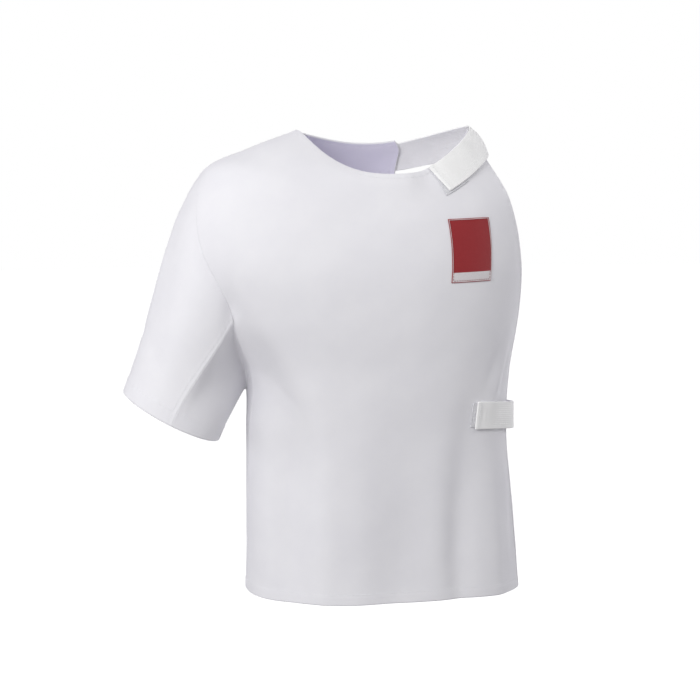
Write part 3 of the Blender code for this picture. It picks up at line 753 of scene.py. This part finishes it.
def add_stitches(name, lines, material):
    """Thread stitches as small rounded bars, all those of one name in one mesh."""
    places, directions, normals = (np.concatenate(part) for part in zip(*lines))
    aside = unit(np.cross(directions, normals))
    up = unit(np.cross(aside, directions))
    sides = STITCH_SIDES
    vertices = []
    for place, size in STITCH_PROFILE:
        for k in range(sides):
            turn = 2 * math.pi * k / sides
            arch = STITCH_HEIGHT * (0.25 - place * place) * 0.9
            vertices.append(
                places
                + directions * STITCH_LENGTH * place
                + aside * (STITCH_WIDTH / 2 * size * math.cos(turn))
                + up * (STITCH_HEIGHT / 2 * size * math.sin(turn) + arch)
            )
    count, each = len(places), len(vertices)
    vertices = np.stack(vertices, 1).reshape(-1, 3)
    quads = []
    for ring in range(len(STITCH_PROFILE) - 1):
        for k in range(sides):
            low, high = ring * sides, (ring + 1) * sides
            quads.append((low + k, low + (k + 1) % sides, high + (k + 1) % sides, high + k))
    last = (len(STITCH_PROFILE) - 1) * sides
    quads += [(3, 2, 1, 0), (5, 4, 3, 0)]
    quads += [(last, last + 1, last + 2, last + 3), (last, last + 3, last + 4, last + 5)]
    faces = (np.array(quads)[None] + (np.arange(count) * each)[:, None, None]).reshape(-1, 4)
    return link_mesh(name, vertices, faces[:, ::-1], [material])


# ---- Materials ----


class Nodes:
    """Adds nodes to one node tree, with short calls."""

    def __init__(self, tree):
        self.tree = tree

    def fill(self, node, inputs):
        """Sets or links a node's inputs, by their names or numbers."""
        for key, value in inputs.items():
            if isinstance(value, bpy.types.NodeSocket):
                self.tree.links.new(value, node.inputs[key])
            else:
                node.inputs[key].default_value = value
        return node

    def add(self, kind, inputs=None, **settings):
        node = self.tree.nodes.new(kind)
        for key, value in settings.items():
            setattr(node, key, value)
        return self.fill(node, inputs or {})

    def math(self, operation, *values):
        return self.add("ShaderNodeMath", dict(enumerate(values)), operation=operation).outputs[0]

    def grain(self):
        """The two places in the flat cloth, in metres."""
        source = self.add("ShaderNodeUVMap", uv_map="grain").outputs[0]
        return self.add("ShaderNodeSeparateXYZ", {0: source}).outputs[:2]

    def noise(self, scale, detail=3.0, roughness=0.55):
        place = self.add("ShaderNodeTexCoord").outputs["Object"]
        inputs = {"Vector": place, "Scale": scale, "Detail": detail, "Roughness": roughness}
        return self.add("ShaderNodeTexNoise", inputs).outputs["Fac"]

    def waves(self, value, pitch):
        return self.math("SINE", self.math("MULTIPLY", value, 2 * math.pi / pitch))

    def ramp(self, value, *stops):
        """A change between two colours, each given with its value."""
        node = self.add("ShaderNodeValToRGB", {"Fac": value})
        for element, (position, colour) in zip(node.color_ramp.elements, stops):
            element.position, element.color = position, (*colour, 1.0)
        return node.outputs["Color"]

    def range(self, value, low, high):
        return self.add("ShaderNodeMapRange", {"Value": value, "To Min": low, "To Max": high}).outputs[0]

    def inside(self, value, low, high, blur):
        """1 where the value lies between low and high, with a narrow blurred border."""
        steps = [
            self.add("ShaderNodeMapRange", {"Value": value, "From Min": edge - blur, "From Max": edge + blur},
                     interpolation_type="SMOOTHSTEP").outputs[0]
            for edge in (low, high)
        ]
        return self.math("SUBTRACT", *steps)

    def bumps(self, *layers):
        """Bumps on top of each other, each with its height, distance and strength."""
        inputs = {}
        for height, distance, strength in layers:
            inputs.update({"Height": height, "Distance": distance, "Strength": strength})
            inputs["Normal"] = self.add("ShaderNodeBump", inputs).outputs["Normal"]
        return inputs["Normal"]

    def finish(self, colour, roughness, normal, sheen, sheen_tint):
        self.fill(self.tree.nodes["Principled BSDF"], {
            "Base Color": colour,
            "Roughness": roughness,
            "Normal": normal,
            "Sheen Weight": sheen,
            "Sheen Roughness": 0.45,
            "Sheen Tint": (*sheen_tint, 1.0),
            "Specular IOR Level": 0.25,
        })


def new_material(name):
    material = bpy.data.materials.new(name)
    material.use_nodes = True
    return material, Nodes(material.node_tree)


def cloth_material(name, light, dark):
    """Dense white plain weave: fine threads, slight slubs and a very slight change of tone."""
    material, nodes = new_material(name)
    u, v = nodes.grain()
    weave = nodes.math("MULTIPLY", nodes.waves(u, 0.9 * MM), nodes.waves(v, 0.9 * MM))
    slub = nodes.noise(700.0, 2.0)
    swell = nodes.noise(55.0)
    colour = nodes.ramp(nodes.noise(16.0, 4.0, 0.6), (0.35, dark), (0.65, light))
    normal = nodes.bumps((swell, 0.9 * MM, 0.10), (slub, 0.25 * MM, 0.18), (weave, 0.10 * MM, 0.22))
    nodes.finish(colour, nodes.range(slub, 0.72, 0.88), normal, 0.35, (0.95, 0.94, 1.0))
    return material


def elastic_material(name, light, dark):
    """Ribbed elastic: warp ribs along the band, crossed by fine weft threads."""
    material, nodes = new_material(name)
    u, v = nodes.grain()
    ribs, weft = nodes.waves(v, 1.2 * MM), nodes.waves(u, 0.9 * MM)
    fuzz = nodes.noise(900.0, 2.0)
    colour = nodes.ramp(nodes.noise(40.0), (0.35, dark), (0.65, light))
    normal = nodes.bumps((fuzz, 0.12 * MM, 0.10), (ribs, 0.05 * MM, 0.2), (weft, 0.04 * MM, 0.15))
    nodes.finish(colour, nodes.range(fuzz, 0.7, 0.9), normal, 0.25, (1.0, 1.0, 1.0))
    return material


def loop_material_with_painted_shade(name, light, dark):
    """Napped loop tape: small tangled loops, in tones darker than the cloth that are partly painted shade,
    standing in for the shadow under the neck strap's lifted end.
    """
    material, nodes = new_material(name)
    loops = nodes.noise(1400.0, 4.0, 0.7)
    tufts = nodes.noise(420.0, 3.0, 0.6)
    colour = nodes.ramp(tufts, (0.35, dark), (0.7, light))
    normal = nodes.bumps((tufts, 0.7 * MM, 0.55), (loops, 0.35 * MM, 0.5))
    nodes.finish(colour, nodes.range(loops, 0.85, 1.0), normal, 0.6, (1.0, 1.0, 1.0))
    return material


def thread_material(name, colour):
    """Twisted sewing thread."""
    material, nodes = new_material(name)
    twist = nodes.noise(2600.0, 2.0)
    shade = nodes.ramp(twist, (0.3, tuple(c * 0.9 for c in colour)), (0.7, colour))
    normal = nodes.bumps((twist, 0.08 * MM, 0.4))
    nodes.finish(shade, nodes.range(twist, 0.5, 0.65), normal, 0.2, (1.0, 1.0, 1.0))
    return material


def label_material(name):
    """Woven label: dark red satin with a thin pale frame and a plain pale band along its foot."""
    material, nodes = new_material(name)
    u, v = nodes.grain()
    width, height = LABEL_FLAT
    from_side = nodes.math("MINIMUM", u, nodes.math("SUBTRACT", width, u))
    from_end = nodes.math("MINIMUM", v, nodes.math("SUBTRACT", height, v))
    outline = nodes.inside(nodes.math("MINIMUM", from_side, from_end), 0.45 * MM, 1.0 * MM, 0.12 * MM)
    well_inside = nodes.inside(from_side, 0.8 * MM, width, 0.15 * MM)
    band = nodes.math("MULTIPLY", nodes.inside(v, 0.8 * MM, 10.8 * MM, 0.2 * MM), well_inside)
    pale = nodes.math("MAXIMUM", outline, band)
    threads = nodes.math("MULTIPLY", nodes.waves(u, 0.5 * MM), nodes.waves(v, 0.8 * MM))
    fuzz = nodes.noise(1200.0)
    red = nodes.ramp(fuzz, (0.3, (0.25, 0.012, 0.016)), (0.7, (0.34, 0.020, 0.024)))
    white = nodes.ramp(fuzz, (0.3, (0.66, 0.62, 0.63)), (0.7, (0.78, 0.75, 0.76)))
    both = nodes.add("ShaderNodeMix", data_type="RGBA")
    nodes.fill(both, {0: pale, 6: red, 7: white})
    normal = nodes.bumps((fuzz, 0.12 * MM, 0.2), (threads, 0.10 * MM, 0.35), (pale, 0.15 * MM, 0.5))
    nodes.finish(both.outputs[2], nodes.range(fuzz, 0.45, 0.6), normal, 0.3, (1.0, 0.9, 0.9))
    return material


# ---- Pieces ----


def panel_surfaces():
    """Rows and normals of the four panels' creased cloth, which agree along the seams."""
    places = {"front_panel": front_places(), "back_panel": back_places()}
    panels = {name: (torso(*place), facing_of(torso, *place)) for name, place in places.items()}
    for name, rows in (("sleeve", sleeve_grid()), ("underarm_panel", underarm_grid())):
        panels[name] = (rows, outward(rows, RIGHT_OUTSIDE))
    share_seam_normals(panels)
    for name, (rows, normals) in panels.items():
        rows = rows + normals * cloth_height(rows)[..., None]
        found = facing_of(creased_torso, *places[name]) if name in places else grid_normals(rows)
        panels[name] = (rows, np.sign((found * normals).sum(-1, keepdims=True)) * found)
    share_seam_normals(panels)
    return panels


def panel_seams(name, rows):
    """The sewn edges of a panel: side, share of the groove, share that is lapped and share of the ridge."""
    row = np.arange(len(rows))[:, None]
    below_arm = 1 - smooth_step(row - BODY_ROWS, *SIDE_SEAM_FADE)
    on_arm = smooth_step(row - BODY_ROWS, *ARM_SEAM_RISE)
    off_armhole = ((BODY_LEVELS <= ARMPIT_LEVEL) | (BODY_LEVELS >= SHOULDER_LEVEL))[:, None]
    behind = smooth_step(AROUND_SHARES, *ARMHOLE_SEAM_RISE)
    return {
        "front_panel": [("right", below_arm, 0, below_arm)],
        "back_panel": [("left", 1, off_armhole, 0)],
        "sleeve": [("low", behind, 0, 0), ("left", 1, 1, 1), ("right", 1, 1, 1)],
        "underarm_panel": [("left", 1, 0, np.maximum(on_arm, below_arm)), ("right", 1, 0, on_arm)],
    }[name]


def neck_relief(rows, d):
    """The front's neck edge away from the strap: a soft roll, and the edge standing off the body."""
    turn = np.degrees(np.arctan2(rows[..., 0], -rows[..., 1]))
    beside_strap = (1 - smooth_step(turn, *NECK_FADE_TURN)) * smooth_step(d["right"], *NECK_FADE_SEAM)
    middle, width, rise = NECK_ROLL
    stand = NECK_STAND[1] * (1 - smooth_step(d["high"], 0.0, NECK_STAND[0]))
    return (rise * bell(d["high"] - middle, width) + stand) * beside_strap


def panel_relief(name, rows, d):
    """How far a panel's outside stands off its rows."""
    hems = [hem_relief(d[side], d[ALONG[side]], width) for side, width in HEMS[name].items()]
    outer = np.maximum.reduce(hems) if name in ("front_panel", "back_panel") else sum(hems)
    for side, groove, lapped, welt in panel_seams(name, rows):
        outer = outer + groove * seam_relief(d[side], d[ALONG[side]], lapped) + welt * welt_relief(d[side])
    return outer + neck_relief(rows, d) if name == "front_panel" else outer


def line_at(points, normals, distance, side, value):
    """The line across a grid at this distance from one of its sides, with its normals."""
    if side in ("left", "right"):
        points, normals, distance = (np.swapaxes(part, 0, 1) for part in (points, normals, distance))
    both = np.concatenate([points, normals], -1)
    line = []
    for i in range(both.shape[1]):
        reach = distance[:, i]
        order = slice(None) if reach[-1] > reach[0] else slice(None, None, -1)
        if reach.max() >= value:
            line.append([np.interp(value, reach[order], both[order, i, k]) for k in range(6)])
    return np.hsplit(np.array(line), 2)


def panel_stitches(name, surface, normals, d, thread):
    """The stitches of a panel's hems and topstitched seams."""
    plan = [(side, width - HEM_STITCH_INSET, None) for side, width in HEMS[name].items()]
    plan += [(side, SEAM_STITCH, levels) for side, levels in TOPSTITCHED.get(name, [])]
    lines = []
    for side, value, levels in plan:
        picked = slice(None)
        if levels:
            picked = (BODY_LEVELS >= levels[0]) & (BODY_LEVELS <= levels[1])
        line = line_at(surface[picked], normals[picked], d[side][picked], side, value)
        lines.append(stitch_line(*line, PANEL_STITCH_LIFT))
    return add_stitches(name + "_stitches", lines, thread)


def make_panels(materials, thread):
    """The four panels, each with its stitches."""
    made = {}
    for name, (rows, normals) in panel_surfaces().items():
        d = edge_distances(rows)
        outer = panel_relief(name, rows, d)
        round_edge = np.zeros(rows.shape[:2])
        for side in HEMS[name]:
            round_edge[SIDE_POINTS[side]] = 1
        piece = add_shell(name + "_cloth", rows, normals, outer, CLOTH_THICKNESS, round_edge, materials)
        made[name] = (piece, rows + normals * outer[..., None], normals, d)
    return {name: (piece, panel_stitches(name, *rest, thread)) for name, (piece, *rest) in made.items()}


def settle(rows, outside):
    """A grid on the form moved as the cloth under it is moved, and its normals."""
    rows = rows + outward(rows, outside) * cloth_height(rows)[..., None]
    return rows, outward(rows, outside)


def strap_drop(angle, distance):
    """Points reached by going this far down the form from the neck ring, at these angles."""
    line = torso(angle[..., None], NECK_LEVEL - DROP_STEP * np.arange(DROP_STEPS))
    step = np.linalg.norm(np.diff(line, axis=-2), axis=-1)
    reach = np.concatenate([np.zeros(step.shape[:-1] + (1,)), np.cumsum(step, -1)], -1)
    k = np.clip((reach[..., 1:] < distance[..., None]).sum(-1), 0, DROP_STEPS - 2)[..., None]
    low, high = np.take_along_axis(reach, k, -1), np.take_along_axis(reach, k + 1, -1)
    start, end = (np.take_along_axis(line, k[..., None] + up, -2)[..., 0, :] for up in (0, 1))
    return mix(start, end, (distance[..., None] - low) / (high - low))


def finer(rows, count):
    """The same smooth grid with this many rows."""
    flat = rows.reshape(len(rows), -1)
    return between_rows(flat, np.linspace(0, len(rows) - 1, count)).reshape(count, *rows.shape[1:])


def free_stretch(angle, stretch):
    """1 where a strap stands free of the body, fading to 0 at both ends of the stretch."""
    return smooth_step(angle, *stretch[:2]) * (1 - smooth_step(angle, *stretch[2:]))


def neck_band(front, back, span, columns):
    """A band round the neck, from the slanting front end to the back, between two distances down."""
    share = np.linspace(0, 1, NECK_BAND_ROWS + 1)[:, None]
    angle = mix(mix(*front, share), back, columns)
    sunk = NECK_STRAP_SINK * smooth_step(angle, *NECK_STRAP_SINKING)
    return strap_drop(angle, sunk + mix(*span, share))


def neck_strap_grid(columns, count):
    rows = neck_band(NECK_STRAP_FRONT, NECK_STRAP_BACK, (0.0, NECK_STRAP_WIDTH), columns)
    bow = NECK_STRAP_BOW * np.sin(np.linspace(0, np.pi, NECK_BAND_ROWS + 1))[:, None, None]
    angle = mix(NECK_STRAP_FRONT[0], NECK_STRAP_BACK, columns)
    turn = np.radians(angle)
    out_up = unit(np.stack([np.sin(turn), -np.cos(turn), np.full_like(turn, NECK_STRAP_BOW_RISE)], -1))
    return finer(rows + bow * out_up * free_stretch(angle, NECK_STRAP_FREE)[:, None], count)


def waist_strap_grid(columns, count):
    angle = mix(WAIST_STRAP_FRONT, WAIST_STRAP_BACK, columns)
    z = WAIST_STRAP_HEIGHT - WAIST_STRAP_DROP * smooth_step(angle, *WAIST_STRAP_DROPPING)
    across = WAIST_STRAP_WIDTH * np.linspace(-0.5, 0.5, WAIST_BAND_ROWS + 1)[:, None]
    rows = torso_at_height(angle, z + across)
    slack = WAIST_STRAP_SLACK * free_stretch(angle, WAIST_STRAP_FREE)
    return finer(rows + unit(rows * np.array((1, 1, 0))) * slack[:, None], count)


def torso_beside(angle, across, z):
    """The torso point at this height that lies this far sideways of the given angle, seen square on."""
    turn = math.radians(angle)
    sideways = np.array((math.cos(turn), math.sin(turn), 0))
    bounds = (np.full(across.shape, angle + reach) for reach in (-40.0, 40.0))
    found = halve(*bounds, lambda near: torso_at_height(near, z) @ sideways < across, ANGLE_HALVINGS)
    return torso_at_height(found, z)


def patch_grid(angle, height, size, turns, counts):
    """A patch on the front, with its level and its upright lines turned by these degrees."""
    level_turn, upright_turn = (math.radians(turn) for turn in turns)
    x, y = ((edge_shares(count) - 0.5) * length for length, count in zip(size, counts))
    across = x * math.cos(level_turn) - y[:, None] * math.sin(upright_turn)
    upward = x * math.sin(level_turn) + y[:, None] * math.cos(upright_turn)
    return torso_beside(angle, across, height + upward)


def edge_shares(count):
    """Places from 0 to 1, closer together at both ends."""
    even = np.linspace(0, 1, count)
    return even - 0.55 * np.sin(2 * np.pi * even) / (2 * np.pi)


def border_stitches(surface, normals, inset):
    """Stitch lines a little inside all four edges of a patch."""
    distances = edge_distances(surface)
    lines = []
    for side in ("low", "high", "left", "right"):
        points, facing = line_at(surface, normals, distances[side], side, inset)
        reach = np.concatenate([[0], np.cumsum(np.linalg.norm(np.diff(points, axis=0), axis=-1))])
        keep = (reach > inset * 0.9) & (reach < reach[-1] - inset * 0.9)
        lines.append(stitch_line(points[keep], facing[keep]))
    return lines


def line_on(surface, normals, start, end):
    """A line between two places on a grid, given in metres along its rows and across them."""
    distances = edge_distances(surface)
    u = distances["left"][surface.shape[0] // 2]
    v = distances["low"][:, surface.shape[1] // 2]
    places = np.linspace(start, end, LINE_POINTS)
    column = np.interp(places[:, 0], u, np.arange(len(u)))
    row = np.interp(places[:, 1], v, np.arange(len(v)))
    i, j = np.clip(column.astype(int), 0, len(u) - 2), np.clip(row.astype(int), 0, len(v) - 2)
    s, t = (column - i)[:, None], (row - j)[:, None]
    return [
        mix(mix(grid[j, i], grid[j, i + 1], s), mix(grid[j + 1, i], grid[j + 1, i + 1], s), t)
        for grid in (surface, normals)
    ]


def strap_stitches(surface, normals, length, width):
    """The line across the turned front end, and the box with a cross that sews the back end down."""
    start, end = (length - place for place in STRAP_BOX)
    low, high = STRAP_BOX_INSET, width - STRAP_BOX_INSET
    corners = [(start, low), (end, low), (end, high), (start, high), (start, low)]
    runs = [*zip(corners, corners[1:]), (corners[0], corners[2]), (corners[3], corners[1])]
    runs.append(((TURNED_STITCH, TURNED_STITCH_END), (TURNED_STITCH, width - TURNED_STITCH_END)))
    return [stitch_line(*line_on(surface, normals, *run)) for run in runs]


def strap_columns(length):
    """Places of a strap's grid lines from end to end, close together at its two ends."""
    ends = np.array(STRAP_LINES) * MM
    count = int((length - 2 * ends[-1]) / (STRAP_USUAL_LINE * MM))
    middle = np.linspace(ends[-1], length - ends[-1], count)
    return np.concatenate([ends[:-1], middle, length - ends[::-1][1:]]) / length


def gather(distance, shape):
    """The small waves of a strap beside the stitches at its end."""
    rise, wave, reach = shape
    return rise * np.sin(2 * np.pi * distance / wave) * (1 - smooth_step(distance, *reach))


def add_strap(name, rows, angle, ribs, elastic, thread):
    """An elastic band with ribs along it, a turned front end and a back end sewn down with a box."""
    rows, normals = settle(rows, LEFT_OUTSIDE)
    d = edge_distances(rows)
    lying = mix(2 * LYING_GAP + PATCH_THICKNESS, STRAP_BACK_LIFT, smooth_step(angle, *STRAP_ON_BACK))
    rib = RIB_DEPTH * np.cos(2 * np.pi * ribs * d["low"] / d["low"][-1:])
    turned = TURNED_RISE * (1 - smooth_step(d["left"], *TURNED_END))
    gathers = gather(d["left"], FRONT_GATHER) + gather(d["right"], BACK_GATHER)
    edge_fade = smooth_step(np.minimum(d["low"], d["high"]), 0.0, EDGE_FADE)
    outer = lying + STRAP_THICKNESS + turned + (rib + gathers / 2) * edge_fade
    piece = add_shell(name + "_band", rows, normals, outer, STRAP_THICKNESS + turned * 0.9, 1, [elastic])
    surface = rows + normals * outer[..., None]
    length, width = d["left"][len(rows) // 2, -1], d["low"][-1].mean()
    return piece, add_stitches(name + "_stitches", strap_stitches(surface, normals, length, width), thread)


def add_patch(name, rows, thickness, material, thread, inset):
    """A patch of tape or a label laid on the front and sewn round its border."""
    rows, normals = settle(rows, AHEAD_OUTSIDE)
    d = edge_distances(rows)
    from_edge = np.minimum.reduce(list(d.values()))
    outer = LYING_GAP + thickness - PATCH_STITCH_SINK * bell(from_edge - inset, PATCH_STITCH_WIDTH)
    piece = add_shell(name + "_cloth", rows, normals, outer, thickness * 0.98, 1, [material])
    surface = rows + normals * outer[..., None]
    return piece, add_stitches(name + "_stitches", border_stitches(surface, normals, inset), thread)


def make_trims(elastic, loops, label, thread, red_thread):
    made = {}
    for name, grid, length, count, ends, ribs in (
        ("neck_strap", neck_strap_grid, 0.29, 91, (NECK_STRAP_FRONT[0], NECK_STRAP_BACK), 15),
        ("waist_strap", waist_strap_grid, 0.318, 79, (WAIST_STRAP_FRONT, WAIST_STRAP_BACK), 13),
    ):
        columns = strap_columns(length)
        made[name] = add_strap(name, grid(columns, count), mix(*ends, columns), ribs, elastic, thread)
    # The neck patch's corner reaches past the strap's end, where its darker tape is painted shade for the
    # shadow under the lifted end.
    neck_patch = finer(neck_band(NECK_PATCH_FRONT, NECK_PATCH_BACK, NECK_PATCH_SPAN, edge_shares(34)), 40)
    waist_patch = patch_grid(WAIST_PATCH_ANGLE, WAIST_STRAP_HEIGHT, WAIST_PATCH_SIZE, (0.0, 0.0), (34, 30))
    chest_label = patch_grid(LABEL_ANGLE, LABEL_HEIGHT, LABEL_SIZE, LABEL_TURNS, (52, 72))
    for name, rows, *rest in (
        ("neck_loop_patch", neck_patch, PATCH_THICKNESS, loops, thread, PATCH_STITCH_INSET),
        ("waist_loop_patch", waist_patch, PATCH_THICKNESS, loops, thread, PATCH_STITCH_INSET),
        ("chest_label", chest_label, LABEL_THICKNESS, label, red_thread, LABEL_STITCH_INSET),
    ):
        made[name] = add_patch(name, rows, *rest)
    return made


# Each sheet: node, flat width and length, flat area, how it is held and what it lies on.
SHEETS = [
    ("front_panel", (0.46, 0.54), 0.198, "hung", []),
    ("back_panel", (0.34, 0.56), 0.123, "hung", []),
    ("sleeve", (0.31, 0.20), 0.046, "hung", ["front_panel_cloth", "back_panel_cloth"]),
    ("underarm_panel", (0.16, 0.46), 0.0375, "hung",
     ["front_panel_cloth", "back_panel_cloth", "sleeve_cloth"]),
    ("neck_strap", (0.29, 0.036), None, "stretched", ["back_panel_cloth", "neck_loop_patch_cloth"]),
    ("waist_strap", (0.318, 0.03), None, "stretched", ["back_panel_cloth", "waist_loop_patch_cloth"]),
    ("neck_loop_patch", (0.0355, 0.031), None, "laid", ["front_panel_cloth"]),
    ("waist_loop_patch", (0.0355, 0.027), None, "laid", ["front_panel_cloth"]),
    ("chest_label", (0.053, 0.070), None, "laid", ["front_panel_cloth"]),
]


def main():
    cloth = cloth_material("white_cloth", (0.835, 0.83, 0.855), (0.805, 0.80, 0.83))
    # The inside copy of the cloth carries painted shade: its lavender tint is the tint the cloth shows in
    # shade.
    inside = cloth_material("white_cloth_inside_painted_shade_tint", (0.83, 0.805, 0.915), (0.79, 0.765, 0.885))
    elastic = elastic_material("grey_elastic", (0.95, 0.95, 0.94), (0.91, 0.91, 0.90))
    # The loop tape's darker tones are partly painted shade for the shadow under the neck strap's lifted end.
    loops = loop_material_with_painted_shade("loop_tape", (0.76, 0.76, 0.78), (0.66, 0.66, 0.69))
    thread = thread_material("white_thread", (0.86, 0.86, 0.88))
    red_thread = thread_material("red_thread", (0.26, 0.02, 0.025))
    label = label_material("red_label")
    made = make_panels([cloth, inside], thread) | make_trims(elastic, loops, label, thread, red_thread)
    for name, flat, area, held, rests_on in SHEETS:
        piece, sewing = made[name]
        for thing in (piece, sewing):
            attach(thing, "root")
        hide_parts(name)


def aim(thing, place, target):
    thing.location = place
    thing.rotation_euler = (target - place).to_track_quat("-Z", "Y").to_euler()


def add_camera():
    azimuth, elevation = math.radians(CAMERA_AZIMUTH), math.radians(CAMERA_ELEVATION)
    out = Vector((
        math.sin(azimuth) * math.cos(elevation),
        -math.cos(azimuth) * math.cos(elevation),
        math.sin(elevation),
    ))
    aside = Vector((math.cos(azimuth), math.sin(azimuth), 0)) * CAMERA_ASIDE
    target = aside + Vector((0, 0, CAMERA_HEIGHT))
    camera = bpy.data.objects.new("camera", bpy.data.cameras.new("camera"))
    bpy.context.scene.collection.objects.link(camera)
    camera.data.lens = CAMERA_LENS
    camera.data.sensor_width = 36.0
    aim(camera, target + out * CAMERA_DISTANCE, target)
    bpy.context.scene.camera = camera


def add_light(name, place, size, power, colour):
    light = bpy.data.lights.new(name, "AREA")
    light.energy, light.size, light.color = power, size, colour
    thing = bpy.data.objects.new(name, light)
    bpy.context.scene.collection.objects.link(thing)
    aim(thing, Vector(place), Vector(LIGHTS_TARGET))


def add_stage():
    """A plain white floor, a white sky whose light is weaker than it looks, and soft lights."""
    material, nodes = new_material("floor_white")
    nodes.fill(material.node_tree.nodes["Principled BSDF"], {
        "Base Color": (0.92, 0.92, 0.92, 1.0),
        "Roughness": 0.9,
        "Emission Color": (1.0, 1.0, 1.0, 1.0),
        "Emission Strength": 0.75,
    })
    corners = np.array([(-1, -1, 0), (1, -1, 0), (1, 1, 0), (-1, 1, 0)]) * FLOOR_SIZE / 2
    floor = link_mesh("floor", corners + np.array((0, 0, FLOOR_HEIGHT)), np.array([(0, 1, 2, 3)]), [material])
    floor.visible_diffuse = False
    world = bpy.data.worlds.new("sky")
    bpy.context.scene.world = world
    world.use_nodes = True
    nodes = Nodes(world.node_tree)
    upward = nodes.add("ShaderNodeSeparateXYZ", {0: nodes.add("ShaderNodeTexCoord").outputs["Generated"]})
    fade = nodes.add("ShaderNodeMapRange", {"Value": upward.outputs["Z"], **SKY_FADE})
    lit = nodes.add("ShaderNodeBackground", {"Color": (0.98, 0.97, 1.0, 1.0), "Strength": fade.outputs[0]})
    seen = nodes.fill(nodes.tree.nodes["Background"], {"Color": (1.0, 1.0, 1.0, 1.0), "Strength": 1.0})
    by_camera = nodes.add("ShaderNodeLightPath").outputs["Is Camera Ray"]
    both = nodes.add("ShaderNodeMixShader", {0: by_camera, 1: lit.outputs[0], 2: seen.outputs[0]})
    nodes.fill(nodes.tree.nodes["World Output"], {"Surface": both.outputs[0]})
    for light in LIGHTS:
        add_light(*light)
    bpy.context.scene.view_settings.view_transform = "Standard"


main()
add_camera()
add_stage()
